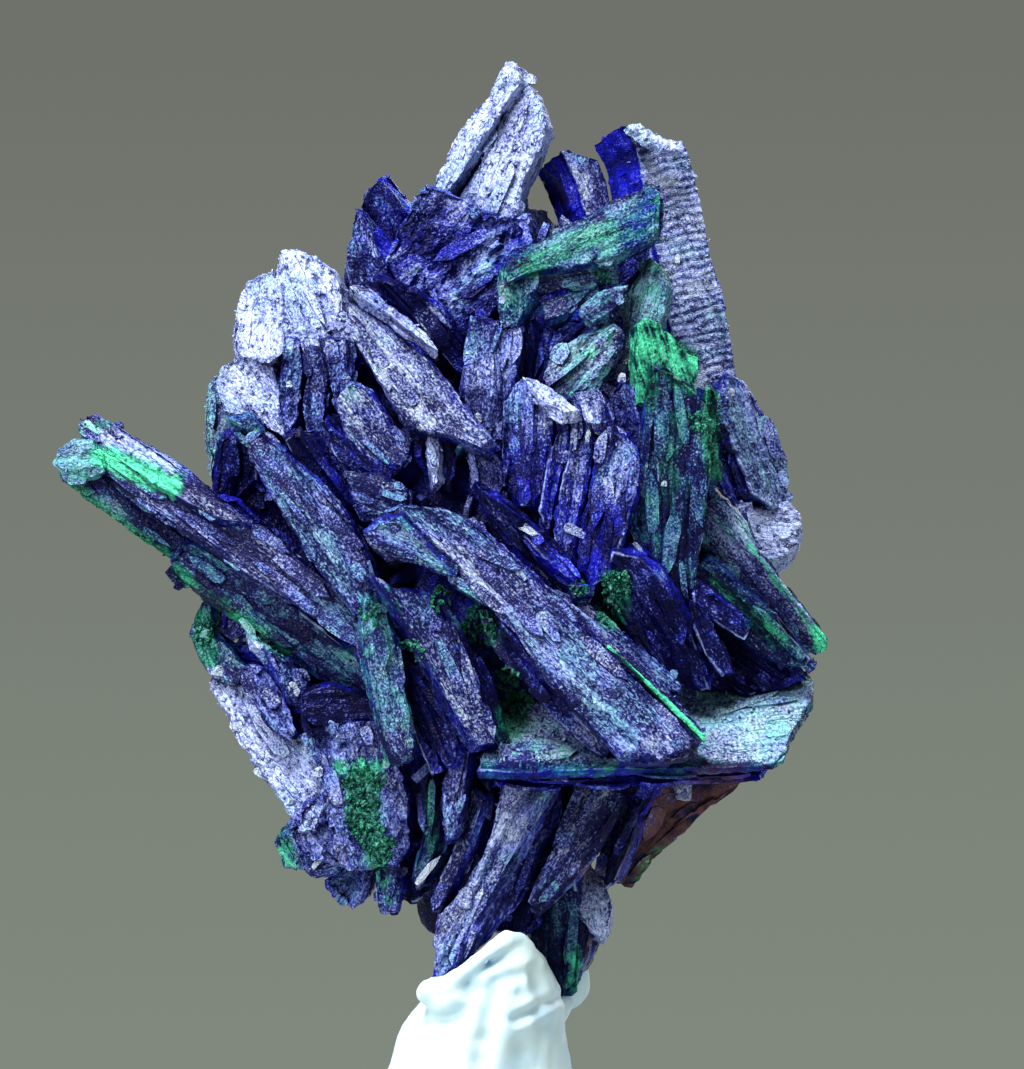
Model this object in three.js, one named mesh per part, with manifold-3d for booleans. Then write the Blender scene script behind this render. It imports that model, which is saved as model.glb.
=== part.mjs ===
// An azurite crystal cluster, upright in a lump of white display putty.
// Millimetres, +Z up, the front faces -Y. The origin is the middle of the putty's flat foot.
import * as THREE from "three";
import { mergeVertices } from "three/addons/utils/BufferGeometryUtils.js";
import Module from "manifold-3d";

const wasm = await Module();
wasm.setup();

// The front elevation is drawn on a sheet, in mm from its left and top edges. The origin lies on it
// at SHEET_MIDDLE from the left and SHEET_FOOT from the top.
const SHEET_MIDDLE = 24;
const SHEET_FOOT = 61.45;
const CLEARANCE = 0.3;
const STRAIGHT = 0.22;

// Each plate: name, depth of its front face's middle, degrees its face is turned to the right and up,
// thickness, and the outline of its front face on the sheet.
const CROWN = [
  ["spire_left", -1, [-22, 20], 1.7,
    [[25.25, 2.9], [25.85, 3.05], [26.05, 4], [24.9, 5.8], [22.25, 9.75], [21.2, 12.6], [19.8, 12.6],
      [21.4, 9.5], [22.6, 7], [23.5, 5.6], [24.3, 4.8]]],
  ["spire_right", -1.2, [-8, 14], 2.3,
    [[26.1, 3.6], [27, 4.9], [27.45, 6.2], [27, 7.5], [26.1, 9.2], [26, 10.8], [25.5, 13],
      [23.2, 13.6], [22.5, 12], [23, 9.8], [24.3, 7.4], [25.3, 5.4]]],
  ["crown_body", -3.2, [-8, 10], 5,
    [[21.2, 9.1], [23.1, 9.9], [25, 10.8], [26.4, 10.6], [26.5, 12.3], [25.3, 13.1], [25, 15],
      [23.5, 16.6], [22.4, 16.4], [21.6, 15], [20, 14.2], [19.2, 13.1], [19.9, 11.2]]],
  ["horn_face", -1, [-20, -10], 1.6,
    [[18.85, 8.9], [20.25, 10.6], [20.4, 12.6], [19.6, 13.8], [18.1, 11.8], [17.95, 10.3],
      [18.3, 9.5]]],
  ["horn_flank", -2, [-32, 5], 2,
    [[17.7, 10.4], [18.4, 11.4], [19.1, 12.7], [19.8, 14.8], [18.2, 15], [17.1, 14.4], [17.2, 12.7],
      [17.5, 11.1]]],
  ["crown_chip", 1.5, [10, 30], 1.6,
    [[26.4, 10.2], [27.3, 10.4], [28, 11.4], [27.9, 13.2], [26, 13.4]]],
];

const UPPER_RIGHT = [
  ["small_prism", 1, [40, 31], 2.4,
    [[28, 7.45], [28.5, 7.35], [30, 7.85], [30.3, 8.6], [31, 12.4], [30, 12.6], [28.75, 9]]],
  ["striped_tower", 0.5, [38, 14], 3.2,
    [[31.1, 6.2], [32, 6.05], [33.2, 6.9], [34.3, 6.95], [34.65, 8], [35.05, 9.75], [35.6, 12.5],
      [36.2, 14.5], [36.7, 17.2], [37, 19.2], [36.1, 21.5], [34.6, 20.5], [33.8, 17.5], [32.7, 12],
      [31.8, 7.5]]],
  ["tower_foot", -0.5, [34, 10], 2.8,
    [[36.5, 18.7], [37.5, 19.2], [38.6, 20.9], [39.1, 22], [39.6, 23.1], [39.75, 24.2], [39.4, 25.2],
      [38.7, 25.4], [37.6, 24.7], [36.7, 22.4], [36, 20.2]]],
  ["druse_knob", -0.8, [20, 0], 4.2,
    [[36.7, 25.2], [38.2, 25.2], [39.5, 25], [40, 25.7], [40.3, 26.4], [40.1, 27.3], [39.5, 27.8],
      [38.1, 28.2], [37.2, 27.6], [36.6, 26.4]]],
  ["green_bar", -7, [0, 12], 1.2,
    [[25.4, 12.7], [27, 12], [30, 10.35], [32, 9.4], [32.8, 9.3], [33.05, 9.6], [33.05, 11.9],
      [30.9, 13], [28.7, 13.4], [26.6, 13.6], [25.3, 14.2]]],
  ["green_bar_under", -6.3, [5, -5], 1.4,
    [[26.6, 13.1], [28.7, 13], [30.6, 12.8], [31, 14.3], [29.8, 14.3], [28, 14.6], [27, 15],
      [26.6, 14.5]]],
  ["teal_foot", -6.8, [-15, 5], 1.5,
    [[25, 13.4], [25.7, 12.8], [26.6, 13.2], [26.6, 15], [26, 16], [25.8, 16.6], [24.9, 16.1],
      [24.8, 14.5]]],
  ["green_chip", -6.6, [0, 18], 1,
    [[27, 15.1], [27.8, 14.7], [30, 14.3], [29, 15.1], [28.2, 15.8], [27.2, 16.1]]],
  ["teal_chip", -6.8, [0, 10], 1,
    [[29, 15.3], [29.9, 14.6], [31.4, 14.3], [31, 15.2], [30.5, 15.9], [29.6, 16.3], [29.1, 15.9]]],
  ["teal_spear", -5.6, [-10, 10], 1.5,
    [[32.4, 12.7], [33, 13.3], [33.4, 14.2], [33.3, 15.4], [32.6, 17.6], [31, 17.6], [31.1, 15.5],
      [31.2, 14.6], [31.9, 13.5]]],
  ["pale_plate", -7, [-10, 15], 1.2,
    [[28, 17.2], [29.5, 16.6], [30.6, 16.2], [31, 16.6], [30.9, 17.5], [30.2, 18.5], [29.5, 19.8],
      [28.7, 20.4], [27.6, 19.9], [27.1, 18.9], [27.4, 18]]],
  ["slat_left", -6.2, [-20, 0], 1,
    [[25.9, 16.2], [26.6, 16.1], [26.8, 17.3], [26.5, 19.3], [25.9, 20.2], [25.5, 19]]],
  ["slat_right", -6.2, [10, 10], 1,
    [[28.2, 16.1], [29.6, 16], [29.2, 16.8], [28, 17.5], [27.4, 18], [27.6, 16.9]]],
];

const RIGHT = [
  ["emerald_cap", -7.4, [15, 10], 1.4,
    [[31.9, 16.3], [32.3, 15.9], [33, 16.1], [33.8, 16.9], [34.5, 17.6], [35, 17.8], [35.05, 18.6],
      [34.8, 19.4], [33, 20.4], [31.9, 20.2], [31.8, 18]]],
  ["tall_green", -9.2, [12, -8], 1.6,
    [[32.6, 18.3], [33.2, 18.5], [34.1, 19.1], [35, 19.9], [35.4, 20.5], [35.6, 22], [35.5, 23.7],
      [35.2, 26.5], [34.8, 29], [34.5, 32], [33.8, 30.5], [32.4, 27.8], [31.4, 26.4], [31.6, 24.9],
      [32.1, 23.2], [32.4, 21]]],
  ["navy_wedge", -9.2, [-5, -20], 1.8,
    [[30.6, 27.6], [32, 27.9], [33.2, 29], [34.4, 31.1], [35, 33], [35.45, 34.5], [34.5, 34.5],
      [32.7, 33.1], [31.1, 31.4], [30, 30]]],
  ["navy_fin", -8.3, [20, -5], 1.1,
    [[34.5, 30], [35.1, 30.4], [36, 31.9], [36.85, 33.75], [36.1, 33.8], [35.2, 32.7], [34.7, 31.4]]],
  ["right_blade_upper", -6, [10, -12], 1.6,
    [[35, 25.2], [35.75, 24.4], [37.4, 26.1], [38.1, 27.8], [39.4, 29.5], [40.5, 30.9], [41.35, 32],
      [41.3, 32.5], [40.8, 32.8], [40, 32.5], [38.7, 31.2], [37.5, 29.7], [36.4, 28.5], [35, 27.4]]],
  ["right_blade_lower", -7.4, [0, -15], 1.3,
    [[34.6, 28.1], [35.6, 28], [36.9, 29.2], [38.5, 30.7], [40, 32.4], [40.5, 33], [40.3, 33.4],
      [39.2, 33.4], [37.9, 33], [36.7, 31.8], [35.6, 30.5], [34.6, 29.5]]],
  ["platform", -7.4, [0, 60], 0.9,
    [[23.9, 38.5], [25, 35], [28, 33], [32, 32.5], [36.8, 33.4], [40.1, 33.3], [40.7, 34], [40.6, 35],
      [40.1, 35.8], [39.5, 36.8], [39.3, 37.5], [38.7, 38.1], [37, 38.3], [32, 38.35], [26, 38.6]]],
  ["platform_under", -7, [0, 60], 0.9,
    [[24.6, 38.9], [27, 35], [32, 33.5], [38, 34], [38.8, 36.8], [38, 38.6], [32, 38.9]]],
];

const FRONT = [
  ["main_blade", -12.6, [-6, 13], 2.2,
    [[19.25, 25.55], [20.1, 25.25], [22, 25.45], [23.4, 25.8], [24.3, 26.5], [27.5, 29.5],
      [31.5, 33.75], [34.6, 36.9], [34.55, 37.5], [33, 37.85], [30.9, 37.85], [30.3, 37.2],
      [27.8, 34.4], [25.6, 31.4], [24.7, 30.3], [22, 28.7], [19.6, 26.7]]],
  ["main_blade_strip", -12, [18, 20], 1.8,
    [[27.2, 29.2], [28.7, 30.3], [30.5, 31.6], [34.2, 35.2], [35.2, 36.7], [35, 37.1], [34.3, 36.9],
      [30.4, 33.3], [27.6, 31]]],
  ["main_blade_shoulder", -11.8, [-10, -12], 2,
    [[18.1, 26.75], [18.9, 26.1], [20, 26], [22, 28], [22.9, 29], [20.8, 28.3], [19.3, 28],
      [18.4, 27.4]]],
  ["main_blade_under", -11.6, [-18, -25], 1.8,
    [[25, 31.2], [27.6, 34.1], [30.6, 37.4], [30.3, 37.9], [29.5, 37.5], [26.7, 35], [25.6, 33.4],
      [24.9, 32]]],
  ["side_blade", -10.8, [5, 12], 1.2,
    [[27.7, 29.5], [29.5, 30.2], [31.2, 31.6], [33.1, 33.2], [34.15, 34.2], [34, 34.7], [33.1, 34.6],
      [30, 32.2], [28.2, 30.7]]],
  ["moss_blade", -11, [-12, 8], 1.6,
    [[23.9, 30.5], [25, 30.1], [26.2, 31.1], [27.2, 32.5], [27.6, 34.5], [26.7, 34.3], [25.4, 33.4],
      [24.4, 32.2]]],
  ["front_fang", -11.4, [14, 8], 2,
    [[18.55, 28.65], [19.9, 29.4], [21.8, 29.7], [22.6, 31.1], [23.5, 33.2], [24.3, 35], [25.1, 37.1],
      [23.9, 37.35], [22.7, 35.7], [21.6, 33.5], [20.4, 31.4], [19.4, 29.9]]],
  ["front_fang_back", -10.4, [25, 0], 1.7,
    [[21.8, 29.5], [23.1, 31.2], [24.2, 33.5], [25.2, 35.7], [25.7, 37.4], [24.6, 37.1],
      [23.2, 33.2]]],
  ["front_tooth", -10.8, [8, 4], 1.8,
    [[18.3, 29.7], [18.8, 29.5], [19.4, 30.6], [19.9, 32], [20.5, 35.2], [20.8, 37.1], [20.7, 37.9],
      [20.2, 38.15], [19.6, 38], [19.2, 36.9], [18.7, 35], [18.3, 33], [18.05, 31.2]]],
  ["inner_slat", -9.6, [-20, 0], 1.1,
    [[20.2, 32.7], [21, 33.6], [22, 35.2], [22.9, 36.9], [22.7, 38.2], [22.3, 38.4], [21.5, 37.2],
      [20.5, 35.2]]],
  ["left_lance", -8.8, [-12, 6], 1.9,
    [[12.3, 22], [13.1, 21.55], [14.25, 22.5], [15.9, 24.1], [17.3, 25.7], [18.4, 28], [18.8, 30],
      [18, 31.1], [15.7, 28.3], [14.8, 26.7], [13.6, 25], [12.7, 23.4]]],
  ["dark_lance", -7.6, [0, -15], 1.3,
    [[14.2, 22], [15, 21.6], [16, 22.7], [17.3, 24.5], [18.2, 25.8], [17.5, 26.4], [15.6, 24.6]]],
];

const LEFT = [
  ["long_upper", -5.8, [-18, 12], 1.6,
    [[4.4, 22.8], [4.9, 22.4], [6.1, 22.6], [8, 23.7], [10.75, 24.9], [15, 28], [17.5, 30],
      [18.6, 32], [18.6, 32.8], [14.5, 30.1], [10, 27.3], [6, 24.4], [4.8, 23.3]]],
  ["long_upper_back", -4, [-18, 22], 1.5,
    [[3.8, 21.5], [4, 20.9], [4.6, 20.6], [5.25, 20.85], [8.25, 22.75], [11.1, 25], [12.4, 26.2],
      [10.75, 26], [6.25, 23.2], [4.25, 22.2]]],
  ["long_tip", -3.2, [-22, 0], 2.4,
    [[2.6, 23.2], [2.85, 22.5], [3.5, 22.05], [4.5, 22], [5, 22.7], [5.2, 23.6], [4.4, 24],
      [3.75, 24.2], [3.1, 24]]],
  ["long_lower_tip", -2.8, [-18, -20], 1.8,
    [[2.8, 23.5], [4.6, 23.2], [5.75, 24.2], [9.5, 27], [10.4, 28.2], [8.75, 28.3], [7, 27.1],
      [4.2, 25.1], [3.2, 24.2]]],
  ["long_lower", -5.4, [-18, -8], 1.8,
    [[8.4, 28.1], [9.1, 27.15], [9.9, 27.3], [14.7, 30.4], [18.6, 33.4], [18.6, 34.7], [17.5, 35.1],
      [14.1, 32.7], [10, 30], [9.1, 29.2], [8.6, 28.7]]],
  ["gap_block", -4.6, [10, 0], 1.5,
    [[10.9, 24.8], [12, 25], [13.1, 26], [12.9, 27], [11.7, 26.5], [11, 25.7]]],
  ["frost_left", -2.6, [-28, 20], 2.6,
    [[11.8, 15], [12.25, 14.05], [13.1, 13.6], [13.7, 13.5], [14.2, 15], [14.2, 17.4], [13.4, 18.1],
      [11.6, 17.85], [11.5, 16.5]]],
  ["frost_top", -3.4, [-12, 22], 3,
    [[13.75, 13.1], [13.9, 12.55], [14.5, 12.4], [15.6, 12.7], [16.8, 13.5], [17.05, 14.2],
      [17.1, 15.4], [18, 16.5], [17.2, 17.1], [15.5, 17.1], [14.2, 16.7], [13.7, 15]]],
  ["frost_lower", -3.2, [-22, 8], 2.4,
    [[11.1, 18.2], [11.9, 17.85], [13.5, 17.9], [14.2, 20], [14.2, 21.8], [12.9, 21.2], [12, 20.8],
      [11.1, 20.6], [10.7, 19.5]]],
  ["teal_flank", -1.2, [-32, 5], 1.5,
    [[10.15, 20], [10.3, 19], [11.1, 18.3], [12.4, 18.4], [12.6, 21], [12, 23.5], [10.7, 24.6],
      [10.3, 23.9], [10.15, 22]]],
  ["flank_notch", -3, [0, -10], 1.8,
    [[10.9, 22], [11.6, 21.6], [12.8, 22.2], [12.8, 24], [11.6, 25.2], [10.6, 24.7]]],
  ["rib_first", -4.4, [-20, 0], 1.4,
    [[14.2, 16.8], [15, 17], [15.2, 19], [14.8, 21], [14.2, 21.8], [13.7, 20]]],
  ["rib_second", -5.2, [-15, 0], 1.4,
    [[15, 17], [15.9, 16.9], [16.5, 19], [16.2, 21], [17.2, 25], [16.5, 24.5], [15.6, 22.5],
      [15, 20.5], [15.3, 19]]],
  ["rib_third", -5.4, [-10, 5], 1.5,
    [[16, 16.9], [17.4, 16.9], [17.8, 18.5], [17.2, 20], [16.7, 20.4], [16.4, 19]]],
  ["rib_fourth", -6.4, [-15, 10], 1.1,
    [[15.1, 21.6], [15.6, 21.4], [16.5, 23.2], [17.6, 25], [17.2, 25.4], [16.2, 24], [15.4, 22.7]]],
];

const MIDDLE = [
  ["silver_blade", -8, [-14, 18], 1.7,
    [[17.1, 15], [18.1, 15.3], [20, 16.6], [21.6, 18.1], [22.6, 19.6], [24.7, 22], [24.1, 22.5],
      [22.3, 21.7], [21, 21.65], [20.2, 21.2], [19.25, 19.75], [17.4, 16.6]]],
  ["white_edge", -6.8, [10, 45], 1.4,
    [[17.3, 14.5], [18.4, 14.2], [19.25, 14.9], [20.6, 15.9], [21.4, 16.8], [22.5, 17.9],
      [23.1, 19.1], [22.3, 19.2], [20, 16.7], [18.2, 15.5]]],
  ["dark_wing", -5.4, [5, -10], 1.5,
    [[18.8, 14], [19.75, 14.2], [21, 14.7], [22.1, 15.4], [22.9, 16.5], [23.6, 18], [23.3, 19.4],
      [22.5, 18.2], [20.5, 15.9], [19.2, 15]]],
  ["bright_column", -7.2, [-8, 6], 1.9,
    [[23.5, 15.8], [24.9, 16], [26, 16.2], [25.75, 18.2], [25.5, 20.2], [25.3, 22], [25, 23.3],
      [24.5, 22.6], [23.9, 21], [22.9, 19.9], [23.2, 17.9]]],
  ["column_foot", -6.8, [-15, 5], 1.7,
    [[23.2, 22], [24, 22.2], [25.2, 23.2], [25, 24.9], [24.1, 24.8], [23.4, 24.6]]],
  ["pale_peg", -6.8, [-5, 10], 1.5,
    [[21.3, 21.6], [22, 21.7], [22, 24.1], [21.6, 24.4], [21.4, 23.2]]],
  ["slab_first", -8, [-12, 8], 1.5,
    [[25.2, 20.2], [25.6, 19.5], [26.3, 18.9], [27.6, 19.7], [27.75, 21.5], [26.8, 25.4],
      [25.9, 25.3], [25, 23.9]]],
  ["slab_second", -8.5, [-14, 4], 1.5,
    [[27.8, 19.7], [28.4, 20], [28.45, 22], [28, 24.1], [27.4, 26.8], [27, 25.6], [27.35, 23.5],
      [27.85, 21.5]]],
  ["slab_third", -8.9, [-14, 4], 1.6,
    [[28.6, 20], [29.7, 20.3], [29.65, 22], [28.8, 26.6], [28.6, 28.3], [28, 27.6], [27.6, 26.5],
      [28.15, 24.1], [28.6, 22]]],
  ["slab_fourth", -9.4, [-14, 4], 1.8,
    [[30, 20], [30.6, 21.2], [31.3, 22], [32.05, 23.3], [31.85, 24.7], [30.4, 28.9], [29.5, 29.4],
      [28.9, 28.4], [29.1, 26], [29.95, 22]]],
  ["slab_ledge", -8.6, [0, 48], 1.1,
    [[26.1, 18.8], [26.9, 18.9], [28.1, 19.8], [28.9, 20.5], [28.1, 20.6], [26.9, 19.9]]],
  ["slab_shoulder", -8.8, [-10, 25], 1.4,
    [[28.6, 19.7], [29.9, 19.4], [30.3, 20.1], [30.1, 21.3], [29.2, 21.2]]],
  ["rear_slab", -7.6, [-10, 0], 1.6,
    [[30.2, 20.3], [31, 19], [32, 19.5], [32.4, 21.5], [32.2, 23.5], [31.2, 22.4], [30.6, 21.2]]],
  ["slant_fin", -9.6, [10, -20], 1.2,
    [[23.9, 24.4], [25, 25.1], [27, 26.6], [28.1, 27.6], [29.1, 28.9], [29.3, 29.8], [28.5, 30],
      [27.2, 28.8], [25.6, 27.2], [24.4, 25.9]]],
  ["pit_wall", -8, [-10, 0], 1.7,
    [[30, 28.5], [31.4, 28], [32.2, 29.5], [32, 31.2], [31.2, 32], [30, 31.4], [29.3, 30]]],
  ["shaded_slab", -6.6, [-5, 8], 1.6,
    [[16.7, 20.1], [17.5, 19], [18.6, 19.5], [19.75, 21.2], [20.6, 22.7], [20, 23.6], [18.2, 22.8],
      [17.2, 22]]],
  ["blue_wedge", -7.2, [-10, -15], 1.4,
    [[16.2, 21], [17.2, 22], [18.5, 22.9], [20, 23.3], [19.4, 24.2], [17.5, 23.8], [16.6, 22.5]]],
  ["throat_slab", -8.4, [-8, 10], 1.7,
    [[17.2, 23.5], [19, 23.7], [20.4, 24.4], [20.4, 25.6], [18.7, 26], [18.1, 26], [17.5, 24.9]]],
];

const LOWER = [
  ["corner_hook", -3.6, [-20, 0], 1.6,
    [[10, 30.2], [10.6, 30.1], [10.5, 31.6], [11.4, 32.5], [12.2, 33.4], [11.8, 34.2], [10.5, 34],
      [9.8, 33], [9.45, 32], [9.65, 31]]],
  ["left_flank", -5, [-28, 8], 2.2,
    [[10.3, 33.6], [12, 33.4], [15, 36.6], [16.6, 38.2], [16.5, 40], [15.6, 41.5], [14.9, 41.6],
      [14, 40], [13.1, 38.9], [12.2, 37.6], [11.2, 35.8], [10.4, 34.5]]],
  ["flank_block", -6.2, [-10, 5], 1.8,
    [[12, 33.4], [13.1, 33.3], [13.8, 34], [14.35, 35.1], [14.8, 36.6], [14.5, 37], [13.5, 36.4],
      [12.7, 35.3]]],
  ["blue_step", -7.4, [0, -10], 2,
    [[15, 34.8], [16.5, 34.3], [18.4, 34.8], [18.9, 36.3], [16.7, 36.8], [15.3, 37]]],
  ["lower_mass", -7, [-12, -5], 4.6,
    [[15, 36.8], [16.5, 36.1], [18.7, 36], [19.7, 38.2], [20.4, 40], [20.4, 42.5], [19.7, 43.4],
      [17.5, 43.6], [15, 42.9], [14.2, 41.8], [15, 40.5], [16.2, 39.5], [15.7, 38.2]]],
  ["corner_foot", -3.8, [-25, -10], 2,
    [[13.7, 42.2], [14, 41.4], [14.7, 41.1], [15.4, 42.2], [16.2, 43.1], [15, 43.6], [14, 43.4]]],
  ["base_chip_left", -6, [0, -15], 1.6,
    [[14.9, 43], [17.2, 42.2], [17.8, 43.1], [16.7, 44], [15.7, 44.1]]],
  ["base_chip_middle", -4.6, [-10, -20], 2.2,
    [[16.2, 44.2], [17.4, 43], [18.8, 43], [18.4, 45.1], [17.6, 45.6], [16.7, 45]]],
  ["base_chip_right", -6.4, [-5, -5], 1.8,
    [[18.7, 43.4], [19.4, 42.7], [20.2, 42.9], [20.2, 44.5], [19.9, 45.7], [19.2, 45.8], [18.8, 45]]],
  ["base_dark", -5.6, [20, -15], 2.4,
    [[19.2, 38], [20.6, 37.9], [21.2, 40], [21.2, 42.5], [21.6, 44.6], [20.5, 45.2], [19.9, 45],
      [19.8, 43], [19.6, 40]]],
  ["teal_sliver", -7.6, [-15, -5], 2.6,
    [[21.6, 38.6], [22.1, 40], [22.2, 41.7], [22, 42.6], [21.2, 44.1], [20.8, 44.5], [20.5, 44],
      [20.9, 42.4], [21.2, 40.7]]],
  ["grey_tongue", -9.4, [-10, 5], 1.6,
    [[23.1, 37.2], [23.5, 37.6], [23.35, 39.1], [23.2, 40.2], [22.8, 41.9], [22.3, 42.1], [22, 40.6],
      [22, 39.2], [22.5, 38]]],
  ["thin_shard", -8.2, [-25, 5], 1.1,
    [[23.6, 39.4], [24.2, 40], [23.4, 42.5], [22, 45.8], [21.6, 45.6], [21.7, 44.6], [22.4, 43.1],
      [23.1, 41.5]]],
  ["stem_blade", -8.4, [-14, 8], 2.2,
    [[25, 38.6], [27, 38.2], [27.6, 39.2], [26, 42.2], [23.9, 46], [22.9, 48.1], [22.4, 49],
      [21.8, 48.8], [21.65, 47.2], [21.9, 45.7], [23.2, 44.5], [24.3, 42.7], [24.8, 41]]],
  ["stem_blade_dark", -7.4, [28, 0], 2.4,
    [[27.2, 38.4], [28.2, 39], [28.1, 40.7], [27.4, 42.5], [26.5, 44.5], [25.7, 45.7], [23.5, 48.2],
      [22.7, 49.2], [23, 47.2], [24.2, 44.7], [25.6, 42.4], [26.8, 40.4]]],
  ["broad_tooth", -7.2, [-6, 6], 1.9,
    [[29, 38.4], [30.6, 38.6], [31.05, 39.6], [30.8, 40.7], [29.9, 42.3], [28.8, 43.8], [26.8, 45.7],
      [26.4, 45.1], [26.7, 44.1], [28.4, 40.9]]],
  ["blue_tooth", -5.4, [-15, -10], 1.8,
    [[30.8, 39.4], [31.9, 40.4], [31.7, 41.9], [30.8, 44], [30.3, 44.5], [29.6, 43.8], [30.1, 42.1]]],
  ["dark_root", -3.6, [-20, -22], 2.6,
    [[26.4, 46.2], [26.6, 43.6], [28.6, 43], [28.9, 45.4], [29.5, 46.7], [29.35, 47.7], [28.8, 49.2],
      [28.1, 50], [27.5, 49.4], [26.9, 48.2], [26.3, 47.2]]],
  ["white_pebble", -4.4, [0, 15], 2,
    [[28.6, 43.2], [29.6, 43.4], [30.4, 44.3], [30.65, 45.2], [30.5, 46.3], [30.2, 46.85],
      [29.6, 46.6], [28.9, 45.8], [28.5, 44.7]]],
  ["brown_shelf", -3.4, [20, -25], 2,
    [[32, 37.9], [36.1, 38], [38.5, 38.3], [37.1, 39.4], [35.4, 40.6], [34.1, 41.9], [32.7, 43.1],
      [31.8, 44.4], [30.9, 44.3], [30.9, 42.6], [31.4, 40.6]]],
  ["shelf_blue", -5.4, [0, -20], 1.6,
    [[31, 38.2], [33.6, 38.2], [33, 40], [32, 41.2], [31, 40.5]]],
];

// The core that the blades grow from: middle, half sizes and turn.
const CORE = [
  { middle: [-1.6, -0.2, 36.5], half: [8.4, 5, 10.4], turn: 0.3 },
  { middle: [2.2, -1, 29.4], half: [7.6, 5, 8.4], turn: 1.1 },
  { middle: [-0.4, -2.2, 22.4], half: [6, 4.2, 7.4], turn: 2.2 },
  { middle: [0.6, 0.4, 44], half: [6.6, 3.8, 6.2], turn: 0.8 },
  { middle: [0.4, -4.6, 33], half: [8.6, 3.6, 9], turn: 2.8 },
];

// Hidden blades that carry the front ones: tip on the sheet, its depth, width, and roll in degrees.
const CARRIERS = [
  [24.6, 29.5, -11.2, 3.4, 40],
  [29.8, 34.6, -11.2, 3.6, -30],
  [20, 33.6, -9.8, 3, 50],
  [16.4, 28, -7.4, 3.2, -50],
  [33.4, 25.2, -8.4, 3.2, 80],
  [20.6, 18.8, -7, 3.2, -40],
  [38, 30.4, -5.6, 3, 20],
  [24.4, 42.6, -7, 3, 75],
  [37.4, 25.6, -2.8, 5.4, 15],
  [11.6, 33.2, -3, 5, -20],
  [36, 30.2, -3.4, 5, 60],
];

// Plates of the front that the back repeats upside down, turned about a level axis across the middle.
const BACK_NAMES = [
  "main_blade", "main_blade_strip", "main_blade_shoulder", "moss_blade", "front_fang", "front_fang_back",
  "front_tooth", "left_lance", "dark_lance", "silver_blade", "white_edge", "bright_column", "slab_first",
  "slab_third", "slab_fourth", "rear_slab", "shaded_slab", "slant_fin",
];
const BACK_AXIS = { y: -2, z: 34.6 };
const BACK_SHIFT = -1.6;

// The sides, top and bottom: bundles of parallel blades in a ring, leaning to the back.
const BUNDLES = 9;
const BUNDLE_REACH = [12.6, 10, 15.4];
const BUNDLE_MIDDLE = [-1, -1, 33.6];
const BUNDLE_LEAN = [-0.1, 0.72];
const BUNDLE_ROOTS = [3.5, 2.8, 7];
const BUNDLE_ROOT_CLIMB = 6;
const BUNDLE_LENGTHS = [0.84, 1, 0.9];
const BUNDLE_SPACING = 1.9;
const BUNDLE_FLARE = 1.25;
const FIRST_ANGLE = 0.4;
const GOLDEN_ANGLE = Math.PI * (3 - Math.sqrt(5));
const CARRIER_THICK = 1.3;

// The putty: half widths, half depths and middles of its rings, from the foot up.
const PUTTY_RINGS = [
  { z: 0, half: [10.6, 8.6], middle: [0, -1.4] },
  { z: 0.7, half: [11, 9], middle: [0, -1.4] },
  { z: 1.8, half: [10, 8.2], middle: [0, -1.6] },
  { z: 3.8, half: [7.6, 6.8], middle: [0, -2.2] },
  { z: 6, half: [5.6, 5.8], middle: [-0.1, -3] },
  { z: 8.5, half: [4.5, 5.2], middle: [-0.1, -3.8] },
  { z: 11, half: [3.8, 4.8], middle: [0.4, -4.6] },
  { z: 12.8, half: [3, 4.2], middle: [1, -5] },
  { z: 14.3, half: [1.7, 3], middle: [1.6, -5.4] },
  { z: 15, half: [0.5, 1.2], middle: [1.8, -5.6] },
];
const PUTTY_SIDES = 20;
const LIP_RADIUS = 0.62;
const BEAD_RADIUS = 1.5;
const BEAD_MIDDLE = [4.3, -3.6, 12.3];
const ROOTED_BELOW = 44;

// A repeatable number from 0 to 1 at each call.
function dice(seed) {
  let state = seed;
  return () => {
    state = (state * 16807) % 2147483647;
    return state / 2147483647;
  };
}

function solidOf(geometry) {
  const bare = geometry.index ? geometry.toNonIndexed() : geometry.clone();
  bare.deleteAttribute("normal");
  bare.deleteAttribute("uv");
  const merged = mergeVertices(bare, 1e-4);
  return new wasm.Manifold(new wasm.Mesh({
    numProp: 3,
    vertProperties: merged.attributes.position.array,
    triVerts: new Uint32Array(merged.index.array),
  }));
}

// The outer skin of a solid: closed bubbles between the blades are filled.
function largestBody(solid) {
  const skins = solid.decompose().sort((a, b) => b.volume() - a.volume());
  return skins[0];
}

function geometryOf(solid) {
  const mesh = solid.getMesh();
  const geometry = new THREE.BufferGeometry();
  geometry.setAttribute("position", new THREE.BufferAttribute(new Float32Array(mesh.vertProperties), 3));
  geometry.setIndex(new THREE.BufferAttribute(new Uint32Array(mesh.triVerts), 1));
  const flat = geometry.toNonIndexed();
  flat.computeVertexNormals();
  return flat;
}

// A flat crystal of an outline, its front face at z = 0 and its body behind it.
function slab(outline, thick, grow = 0) {
  const points = outline.map(([x, y]) => new THREE.Vector2(x, y));
  if (THREE.ShapeUtils.isClockWise(points)) points.reverse();
  const geometry = new THREE.ExtrudeGeometry(new THREE.Shape(points), {
    depth: thick,
    bevelEnabled: grow > 0,
    bevelThickness: grow,
    bevelSize: grow,
    bevelSegments: 1,
  });
  return geometry.translate(0, 0, -thick);
}

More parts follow.
